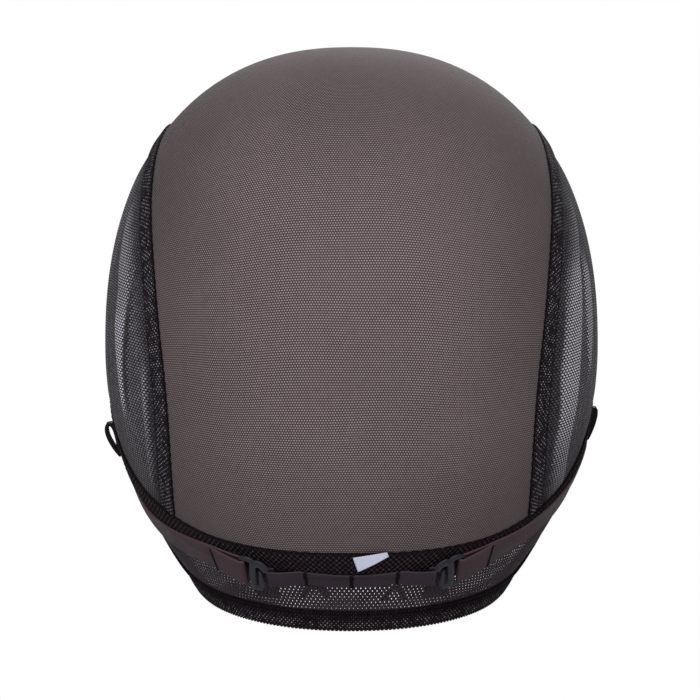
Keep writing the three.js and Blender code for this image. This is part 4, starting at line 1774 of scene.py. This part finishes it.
@dataclass
class Hem:
    """The folded net edge round the rim: a close band with a ridge along its top, and an open lower edge."""

    dresser: Dresser
    columns: int = 1000
    rows: int = 20
    fold_rise: float = 0.35
    # The band's tone: painted light in its holes near the open edge, fading to close_tone higher up.
    open_rise: Span = (1.4, 4.2)
    close_tone: float = 0.12
    thin_from: Span = (74.0, 92.0)
    thin_loss: float = 0.4
    inner: float = 0.25
    outer: float = 1.2
    belly: float = 0.25
    bumps: tuple[Bump, ...] = (
        Bump(height=0.55, at=0.92, spread=0.06),
        Bump(height=-0.45, at=0.8, spread=0.045),
        Bump(height=-0.5, at=0.0, spread=0.08),
    )
    knit: Knit = HEM_KNIT
    knit_top: float = 0.75
    yarn: NetYarn = NetYarn(
        spacing=0.74, mesh=1.5, half_width=0.34, half_height=0.24, touch=0.72, around=72.0)
    edge_layers: tuple[EdgeLayer, ...] = (
        EdgeLayer(shift=0.0, low=-0.25, lift=0.55),
        EdgeLayer(shift=0.3, low=-0.05, lift=0.3),
    )
    edge_azimuths: Span = (-180.0, 179.6)
    edge_top: float = 0.9
    edge_end: float = 74.0
    stitch: Stitch = Stitch(length=1.7, radius=0.15)
    stitch_pitch: float = 2.4
    stitch_rise: float = 5.25
    stitch_sink: float = 0.35
    stitch_samples: int = 2400

    def thinned(self, azimuth: Array) -> Array:
        """The band's thickness as a share of that at the nape: less towards the ears and the brow."""
        return 1 - self.thin_loss * ease(np.abs(azimuth), *self.thin_from)

    def band(self) -> Solid:
        """The close band: a wall round the rim, thick at the ridge, thin in the groove, round at the fold.

        Returns:
            The band, with painted light in the holes of its outer face alone.
        """
        lines = self.dresser.lines
        azimuth = np.linspace(*ALL_ROUND, self.columns + 1)[:, None]
        share = np.linspace(0, 1, self.rows)[None, :]
        height = lines.rim_height(azimuth) + self.fold_rise + share * (lines.hem_rise - self.fold_rise)
        points = lines.form.point(azimuth, height)
        along, up = run_lengths(points[:, 0])[:, None], share * lines.hem_rise
        profile = self.outer + self.belly * np.sin(math.pi * share)
        for bump in self.bumps:
            profile = profile + bump.height * bell(share, bump.at, bump.spread)
        relief = self.knit.relief(along, up) * (share < self.knit_top)
        normal = lines.form.normal(points)
        outer = points + normal * (profile * self.thinned(azimuth) + relief)[..., None]
        inner = points + normal * self.inner
        weave = np.stack(np.broadcast_arrays(along, up), -1)
        # Painted light: a high tone near the open lower edge lights the holes, as light seen through them;
        # the inner face gets none.
        tone = 1 - (1 - self.close_tone) * ease(up, *self.open_rise)
        solid = shell(outer[:-1], inner[:-1], weave, True, tone)
        solid.tone[len(solid.points) // 2:] = 0.0
        return solid

    def build(self) -> None:
        """Builds the band, the open edge below it from ear to ear, and the stitches along its groove."""
        lines, wardrobe, dress = self.dresser.lines, self.dresser.wardrobe, self.dresser.dress
        dress("hem_band", self.band(), wardrobe.hem, Slot.BLACK_TAPE, "hem_binding")
        start, stop = self.edge_azimuths
        layers = [
            zigzag_net(
                lines.form, self.yarn, (start + layer.shift, stop + layer.shift), (layer.low, self.edge_top),
                lines.rim_height, lambda azimuth, _: np.abs(azimuth) < self.edge_end, layer.lift)
            for layer in self.edge_layers]
        dress("hem_open_edge", joined(layers), wardrobe.hem_thread, Slot.BLACK_TAPE)
        azimuth = np.linspace(*ALL_ROUND, self.stitch_samples)
        track = Track(lines.form, lines.form.point(azimuth, lines.rim_height(azimuth) + self.stitch_rise))
        along = np.arange(*track.ends, self.stitch_pitch)
        thinned = self.thinned(np.interp(along, track.lengths, azimuth))
        row = self.stitch.sewn(track, along, 0.0, self.outer * thinned - self.stitch_sink)
        dress("hem_stitches", row, wardrobe.sewing, Slot.BLACK_TAPE)


@dataclass(frozen=True)
class HookSizes:
    """Sizes of a hook: distances outwards, to the ear, from its middle, and up."""

    azimuth: float = 22.3
    bar: float = 4.9
    post: float = 4.3
    middle: float = 3.1
    wall: float = 1.25
    clear: float = 0.1
    stretch: float = 1.2


@dataclass(frozen=True)
class EarLoop:
    """A small ribbon loop: where it stands, how long and high it is, and how thick its ribbon looks."""

    azimuth: float
    foot: float
    length: float
    height: float
    wall: float


@dataclass
class Straps:
    """The two ribbon straps with their ear loops, and the loop tape between them, on one strap line."""

    dresser: Dresser
    hook: HookSizes = HookSizes()
    samples: int = 1200
    drop: float = -0.9
    ends: dict[Side, float] = field(default_factory=lambda: {Side.LEFT: -88.0, Side.RIGHT: 89.0})
    strap: Ribbon = Ribbon(width=10.2, wall=0.5)
    rest: float = 1.3
    rise: Span = (6.0, 26.0)
    tail: float = 11.5
    tail_open: float = 10.5
    step: float = 0.6
    turn_points: int = 15
    ply_gap: float = 0.08
    net_top: float = 1.05
    tape_top: float = 1.75
    tape_foot: Span = (-6.4, -4.6)
    loop: Ribbon = Ribbon(width=6.2, wall=0.42)
    loop_low: float = 1.35
    loop_bow: float = 0.3
    loop_return: float = 0.9
    loop_points: int = 24
    return_points: int = 10
    ear_loops: dict[Side, EarLoop] = field(default_factory=lambda: {
        Side.LEFT: EarLoop(azimuth=-88.5, foot=-34.9, length=10.8, height=4.6, wall=0.85),
        Side.RIGHT: EarLoop(azimuth=89.0, foot=-29.8, length=10.4, height=2.9, wall=1.25),
    })
    ear_width: float = 5.0
    ear_foot: float = 1.0
    ear_full: float = 0.62
    ear_sag: float = 0.25
    ear_points: int = 64
    ear_samples: int = 80
    fold_tack: Stitch = Stitch(length=1.1, radius=0.17)
    loop_tack: Stitch = Stitch(length=1.5, radius=0.17)
    tack_pitch: float = 13.6
    tack_step: float = 0.34
    tack_turn: float = 0.3
    tack_inset: float = 0.9
    tack_margin: float = 0.8
    azimuths: Array = field(init=False)
    track: Track = field(init=False)

    def __post_init__(self) -> None:
        """Lays out the strap line, with lengths counted from the middle of the nape."""
        lines = self.dresser.lines
        self.azimuths = np.linspace(-lines.strap_end, lines.strap_end, self.samples + 1)
        points = lines.form.point(self.azimuths, lines.strap.read(self.azimuths))
        self.track = Track(lines.form, points, self.samples // 2)

    def at(self, azimuth: float) -> float:
        """Distance along the strap line at an azimuth."""
        return float(np.interp(azimuth, self.azimuths, self.track.lengths))

    def hook_at(self, side: Side) -> float:
        """Distance along the strap line at a hook's middle."""
        return self.at(side.value * self.hook.azimuth)

    def half_turn(self, middle: float, radius: float, facing: int) -> Array:
        """Points of a half turn round a bar, from below it to above it.

        Args:
            middle: Distance of the bar along the strap line.
            radius: Radius of the turn.
            facing: Which way along the line it bulges.

        Returns:
            Distances along the line and off the form.
        """
        angle = np.linspace(-math.pi / 2, math.pi / 2, self.turn_points)[1:-1]
        along = middle + facing * radius * np.cos(angle)
        return np.stack([along, self.hook.middle + radius * np.sin(angle)], -1)

    def ground(self, points: Array) -> Array:
        """Height of what the ribbons lie on: the net, and on it the nape tape."""
        lines = self.dresser.lines
        above = points[..., 2] - lines.nape_height(lines.form.azimuth(points))
        return self.net_top + (self.tape_top - self.net_top) * ease(above, *self.tape_foot)

    def turn_radius(self, wall: float) -> float:
        """Radius at which a ribbon's middle turns round a bar of the hook."""
        return self.hook.wall / 2 + wall / 2 + self.hook.clear

    def under_lift(self, away: Array) -> Array:
        """Lift of a strap at a distance from its bar: it comes up off the net to the bar."""
        low = self.hook.middle - self.turn_radius(self.strap.wall)
        return self.rest + (low - self.rest) * (1 - ease(away, *self.rise))

    def tail_lift(self, away: Array) -> Array:
        """Lift of a strap's folded end, which closes onto the strap below it.

        Args:
            away: Distance from the bar.

        Returns:
            The lift at each place.
        """
        top = self.hook.middle + self.turn_radius(self.strap.wall)
        closed = self.under_lift(away) + self.strap.wall + self.ply_gap
        return closed + (top - closed) * (1 - np.clip(away / self.tail_open, 0, 1))

    def strap_line(self, side: Side) -> Array:
        """A strap's middle line: from the ear to the hook, round its bar and back to the tack.

        Args:
            side: Which strap.

        Returns:
            Distances along the strap line and off the form.
        """
        sign = side.value
        bar = self.hook_at(side) + sign * self.hook.bar
        end = self.at(self.ends[side])
        under = np.linspace(end, bar, int(abs(end - bar) / self.step))
        over = np.linspace(bar, bar + sign * self.tail, int(self.tail / self.step))
        return np.concatenate([
            np.stack([under, self.under_lift(np.abs(under - bar))], -1),
            self.half_turn(bar, self.turn_radius(self.strap.wall), -sign),
            np.stack([over, self.tail_lift(np.abs(over - bar))], -1)])

    def loop_line(self) -> Array:
        """The loop tape's middle line: folded round one hook, bowed between tacks, folded round the other.

        Returns:
            Distances along the strap line and off the form.
        """
        left, right = (self.hook_at(side) - side.value * self.hook.post for side in Side)
        radius = self.turn_radius(self.loop.wall)
        top, low = self.hook.middle + radius, self.loop_low
        pitch = self.tack_pitch
        stops = np.array([(left, top), (-pitch, low), (0.0, low), (pitch, low), (right, top)])
        share = np.linspace(0, 1, self.loop_points)
        bow = np.stack([0 * share, self.loop_bow * np.sin(math.pi * share) ** 2], -1)
        spans = [start + (stop - start) * share[:, None] + bow for start, stop in zip(stops, stops[1:])]

        def tip(bar: float, facing: int) -> Array:
            """The tape's folded end below a bar, from its tip to the bar."""
            along = np.linspace(bar - facing * self.loop_return, bar, self.return_points)
            return np.stack([along, np.full(self.return_points, self.hook.middle - radius)], -1)

        return np.concatenate([
            tip(left, Side.LEFT.value),
            self.half_turn(left, radius, Side.LEFT.value),
            spans[0],
            *(span[1:] for span in spans[1:]),
            self.half_turn(right, radius, Side.RIGHT.value)[::-1],
            tip(right, Side.RIGHT.value)[::-1]])

    def ear_loop(self, side: Side) -> Solid:
        """A drop-shaped ring that stands on the cloth past the strap's end: an ellipse, fuller at its top.

        Args:
            side: Which loop.

        Returns:
            The loop.
        """
        loop, form = self.ear_loops[side], self.dresser.lines.form
        heights = np.linspace(loop.foot, loop.foot + loop.length, self.ear_samples)
        track = Track(form, form.point(np.full(self.ear_samples, loop.azimuth), heights))
        angle = np.linspace(0, FULL_TURN, self.ear_points + 1)[:-1]
        share = np.cos(angle)
        along = (track.ends[1] - loop.wall) / 2 * share + track.ends[1] / 2
        full = self.ear_full + (1 - self.ear_full) * share
        sag = self.ear_sag * (1 - share) ** 2 / 2
        middle = self.ear_foot + loop.height / 2
        lift = middle + (loop.height - loop.wall) / 2 * (np.sin(angle) * full - sag)
        return Ribbon(self.ear_width, loop.wall).laid(track, np.stack([along, lift], -1), ring=True)

    def bar_tack(self, along: float, lift: float, wall: float, width: float, stitch: Stitch) -> Solid:
        """A row of close stitches across a ribbon, slanting by turns.

        Args:
            along: Where it lies along the strap line.
            lift: Height of the ribbon's middle there, where it doesn't lie on the cloth.
            wall: The ribbon's thickness.
            width: How far it reaches across.
            stitch: One of its stitches.

        Returns:
            The stitches.
        """
        across = np.linspace(-width / 2, width / 2, int(width / self.tack_step)) + self.drop
        turn = np.where(np.arange(len(across)) % 2, self.tack_turn, -self.tack_turn)
        lies = self.ground(self.track.place(along, across, 0.0)) + wall / 2
        face = np.maximum(lies, lift) + wall / 2
        return stitch.sewn(self.track, along, across, face, turn)

    def build(self) -> None:
        """Builds the straps, loop tape, ear loops and tacks."""
        wardrobe, dress = self.dresser.wardrobe, self.dresser.dress
        tacks = []
        for side in Side:
            word = side.word
            strap = self.strap.laid(self.track, self.strap_line(side), self.drop, ground=self.ground)
            dress(f"strap_ribbon_{word}", strap, wardrobe.ribbon, Slot.RIBBON, f"strap_{word}")
            ear = self.ear_loop(side)
            dress(f"ear_ribbon_{word}", ear, wardrobe.ear_ribbon, Slot.BLACK_TAPE, f"ear_loop_{word}")
            away = self.tail - self.tack_inset
            along = self.hook_at(side) + side.value * (self.hook.bar + away)
            lift, width = float(self.tail_lift(np.array(away))), self.strap.width - self.tack_margin
            tacks.append(self.bar_tack(along, lift, self.strap.wall, width, self.fold_tack))
        tape = self.loop.laid(self.track, self.loop_line(), self.drop, ground=self.ground)
        dress("loop_tape_ribbon", tape, wardrobe.loop_tape, Slot.LOOP_TAPE, "loop_tape")
        for along in (-self.tack_pitch, 0.0, self.tack_pitch):
            tacks.append(self.bar_tack(along, self.loop_low, self.loop.wall, self.loop.width, self.loop_tack))
        dress("strap_tacks", joined(tacks), wardrobe.tacking, Slot.RIBBON)


@dataclass(frozen=True)
class HookLimb:
    """A limb of a hook: a route of points outwards and up, its width at each end and its level."""

    route: tuple[Span, ...]
    width: Span
    level: float = 0.0


@dataclass
class Hooks:
    """The two moulded hooks, fused from rounded limbs."""

    straps: Straps
    limbs: tuple[HookLimb, ...] = (
        HookLimb(route=((4.9, -4.9), (4.9, 0.0), (4.9, 4.9)), width=(1.2, 1.2)),
        HookLimb(route=((5.0, 4.7), (2.9, 5.2), (0.7, 4.7)), width=(1.4, 2.0)),
        HookLimb(route=((4.9, -4.9), (2.0, -5.2), (-1.0, -5.0)), width=(1.3, 1.9)),
        HookLimb(route=((0.6, 4.8), (1.5, 0.5), (1.9, -5.0)), width=(2.3, 2.1), level=0.15),
        HookLimb(route=((1.0, 3.6), (-0.6, 4.3), (-2.4, 3.6), (-3.5, 1.8)), width=(2.5, 2.8), level=0.1),
        HookLimb(route=((-4.1, 2.0), (-4.3, -1.0), (-4.0, -3.6)), width=(1.5, 1.5)),
        HookLimb(route=((-0.8, -4.9), (-0.7, -2.2), (-0.9, 1.2)), width=(2.1, 1.2), level=-0.3),
    )
    limb_points: int = 28
    limb_sides: int = 14
    end_power: int = 14
    end_share: float = 0.15
    voxel: float = 0.15
    softening: int = 4

    def limb_solid(self, limb: HookLimb) -> Solid:
        """A rounded limb: an elliptic section carried along a smooth route, with round ends.

        Args:
            limb: Its route and widths.

        Returns:
            The limb, flat.
        """
        given = np.array(limb.route)
        marks = tuple(np.linspace(0, 1, len(given)))
        share = np.linspace(0, 1, self.limb_points)
        smooth = [Line(marks, tuple(given[:, axis])).read(share) for axis in range(2)]
        centre = np.stack([*smooth, np.full_like(share, limb.level)], -1)[None]
        way = unit(np.gradient(centre, axis=1))
        width = np.interp(share, [0, 1], limb.width)[None] / 2
        rounded = np.sqrt(np.clip(1 - np.abs(2 * share - 1) ** self.end_power, self.end_share, 1))[None]
        normal = np.broadcast_to(np.array([0.0, 0.0, 1.0]), centre.shape)
        half_wall = self.straps.hook.wall / 2
        return tubes(centre, normal, way, width * rounded, half_wall * rounded, self.limb_sides)

    def fused(self) -> tuple[Array, Whole]:
        """The limbs fused into one moulded body by a fine remesh, flat, in millimetres.

        Returns:
            Its points and its faces of four corners.
        """
        flat = joined([self.limb_solid(limb) for limb in self.limbs])
        flat.points = flat.points / MILLIMETRE
        piece = flat.to_object("hook_pattern", 0.0)
        remesh = piece.modifiers.new("fuse", "REMESH")
        remesh.mode = "VOXEL"
        remesh.voxel_size = self.voxel
        smooth = piece.modifiers.new("soften", "SMOOTH")
        smooth.iterations = self.softening
        mesh = bpy.data.meshes.new_from_object(piece.evaluated_get(bpy.context.evaluated_depsgraph_get()))
        points = np.empty(len(mesh.vertices) * 3)
        mesh.vertices.foreach_get("co", points)
        faces = np.empty(len(mesh.polygons) * 4, np.int64)
        mesh.polygons.foreach_get("vertices", faces)
        bpy.data.objects.remove(piece)
        return points.reshape(-1, 3), faces.reshape(-1, 4)

    def build(self) -> None:
        """Bends the fused body onto the strap line, once for each side."""
        points, faces = self.fused()
        straps, dresser = self.straps, self.straps.dresser
        for side in Side:
            along = straps.hook_at(side) + side.value * points[:, 0]
            up = points[:, 1] * straps.hook.stretch + straps.drop
            bent = straps.track.place(along, up, straps.hook.middle + points[:, 2])
            solid = Solid(bent, [faces], [points[faces][..., :2]]).faced_outwards()
            name, node = f"hook_moulding_{side.word}", f"hook_{side.word}"
            dresser.dress(name, solid, dresser.wardrobe.plastic, Slot.HOOK_PLASTIC, node)


@dataclass
class SizeLabel:
    """The small blank label under the nape tape: a folded strip that curls off the cloth.

    Corners are given along and across the nape seam: upper left, lower left, upper right and lower right.
    """

    dresser: Dresser
    along: tuple[float, float, float, float] = (0.4, 1.9, 9.9, 10.5)
    across: tuple[float, float, float, float] = (3.2, -1.6, 4.9, 3.6)
    lift: float = 2.2
    wall: float = 0.22
    curl: float = 0.24
    bow: float = 0.25
    ply_gap: float = 0.34
    ply_slip: float = 0.25
    steps: int = 26

    def ply(self, lift: float, slip: float) -> Solid:
        """One layer: a patch between four corners that curls off below its sewn edge.

        Args:
            lift: Distance of its upper edge off the form.
            slip: How far the layer has slipped down.

        Returns:
            The layer.
        """
        track = self.dresser.lines.nape_track()
        u = np.linspace(0, 1, self.steps)[:, None]
        v = np.linspace(0, 1, self.steps)[None, :]

        def blended(corners: tuple[float, float, float, float]) -> Array:
            """Values blended between the four corners."""
            left = corners[0] + (corners[1] - corners[0]) * v
            right = corners[2] + (corners[3] - corners[2]) * v
            return left + (right - left) * u

        along, across = blended(self.along), blended(self.across) - slip
        raised = lift + self.curl * (max(self.across) - across) + self.bow * np.sin(math.pi * u) * v
        weave = np.stack(np.broadcast_arrays(along, across), -1)
        outer = track.place(along, across, raised + self.wall)
        return shell(outer, track.place(along, across, raised), weave)

    def build(self) -> None:
        """Builds the label's two layers."""
        solid = joined([self.ply(self.lift, 0.0), self.ply(self.lift - self.ply_gap, self.ply_slip)])
        self.dresser.dress("blank_label", solid, self.dresser.wardrobe.label, Slot.LABEL, "size_label")


@dataclass(frozen=True)
class Lamp:
    """A soft lamp: its name, its place and width in metres, and its power in watts."""

    name: str
    place: tuple[float, float, float]
    size: float
    power: float


@dataclass
class Studio:
    """A pale floor, soft light and the camera, in metres, with the picture's sizes in pixels."""

    lines: CapLines
    distance: float = 1.0
    elevation: float = 6.0
    focal: float = 3105.0
    picture: float = 700.0
    principal: Span = (351.5, 345.0)
    sensor: float = 36.0
    clip: Span = (0.05, 100.0)
    floor_height: float = -0.30
    floor_half: float = 40.0
    floor_grey: float = 0.5
    ambient: float = 0.45
    backdrop: float = 1.0
    lamps: tuple[Lamp, ...] = (
        Lamp(name="key", place=(-0.2, -1.8, 0.8), size=1.2, power=36.0),
        Lamp(name="brow", place=(0.3, 1.8, 0.9), size=1.2, power=30.0),
    )

    @property
    def target(self) -> Array:
        """The middle of the cap's widest level."""
        return np.array([0, 0, -self.lines.form.crown_height * MILLIMETRE])

    def camera(self) -> None:
        """Makes the camera, which looks along +Y at the widest level of the cap."""
        angle = math.radians(self.elevation)
        data = bpy.data.cameras.new("camera")
        data.sensor_width = self.sensor
        data.lens = self.focal * self.sensor / self.picture
        data.shift_x = (self.picture / 2 - self.principal[0]) / self.picture
        data.shift_y = (self.principal[1] - self.picture / 2) / self.picture
        data.clip_start, data.clip_end = self.clip
        camera = linked("camera", data)
        camera.location = self.target + self.distance * np.array([0, -math.cos(angle), math.sin(angle)])
        camera.rotation_euler = (math.pi / 2 - angle, 0, 0)
        bpy.context.scene.camera = camera

    def floor(self) -> None:
        """Makes a wide plain floor below the held-up cap."""
        corners = np.array([[-1, -1, 0], [1, -1, 0], [1, 1, 0], [-1, 1, 0]]) * self.floor_half
        mesh = bpy.data.meshes.new("floor")
        mesh.from_pydata((corners + (0, 0, self.floor_height)).tolist(), [], [(0, 1, 2, 3)])
        piece = linked("floor", mesh)
        material = bpy.data.materials.new("pale_floor")
        material.use_nodes = True
        graph = Graph(material.node_tree)
        matt = graph.add("ShaderNodeBsdfDiffuse", {"Color": (*(self.floor_grey,) * 3, 1.0)})
        lit = graph.add("ShaderNodeEmission", {"Color": (1.0, 1.0, 1.0, 1.0), "Strength": self.backdrop})
        self.seen_bright(graph, matt.outputs[0], lit.outputs[0], "OUTPUT_MATERIAL")
        mesh.materials.append(material)

    def seen_bright(self, graph: Graph, soft: Socket, bright: Socket, output: str) -> None:
        """Makes a surface bright to look at and soft as a light, as a lit studio backdrop is.

        Args:
            graph: The floor's or the world's graph.
            soft: What lights the cap.
            bright: What is seen.
            output: Type of the graph's output node.
        """
        seen = graph.add("ShaderNodeLightPath").outputs["Is Camera Ray"]
        mixed = graph.add("ShaderNodeMixShader", {0: seen, 1: soft, 2: bright})
        result = next(node for node in graph.tree.nodes if node.type == output)
        graph.feed(result.inputs["Surface"], mixed.outputs[0])

    def world(self) -> None:
        """Makes the even white light."""
        world = bpy.data.worlds.new("studio")
        world.use_nodes = True
        graph = Graph(world.node_tree)
        soft, bright = (
            graph.add("ShaderNodeBackground", {"Color": (1.0, 1.0, 1.0, 1.0), "Strength": strength})
            for strength in (self.ambient, self.backdrop))
        self.seen_bright(graph, soft.outputs[0], bright.outputs[0], "OUTPUT_WORLD")
        bpy.context.scene.world = world

    def light(self, lamp: Lamp) -> None:
        """Adds a soft lamp that faces the cap.

        Args:
            lamp: Its place, size and power.
        """
        data = bpy.data.lights.new(lamp.name, "AREA")
        data.size, data.energy = lamp.size, lamp.power
        piece = linked(lamp.name, data)
        piece.location = lamp.place
        piece.rotation_euler = Vector(self.target - np.array(lamp.place)).to_track_quat("-Z", "Y").to_euler()

    def build(self) -> None:
        """Makes the even light, the floor, the camera and the soft lamps before and behind the cap."""
        bpy.context.scene.view_settings.view_transform = "Standard"
        self.world()
        self.floor()
        self.camera()
        for lamp in self.lamps:
            self.light(lamp)


def main() -> None:
    """Builds every piece in order."""
    logging.basicConfig(level=logging.INFO, format="%(name)s %(message)s")
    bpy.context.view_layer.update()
    lines = CapLines()
    dresser = Dresser(lines, Wardrobe())
    CrownPanel(dresser).build()
    SidePanels(dresser).build()
    Tapes(dresser).build()
    NapeNet(dresser).build()
    Hem(dresser).build()
    straps = Straps(dresser)
    straps.build()
    Hooks(straps).build()
    SizeLabel(dresser).build()
    Studio(lines).build()


if __name__ == "__main__":
    main()
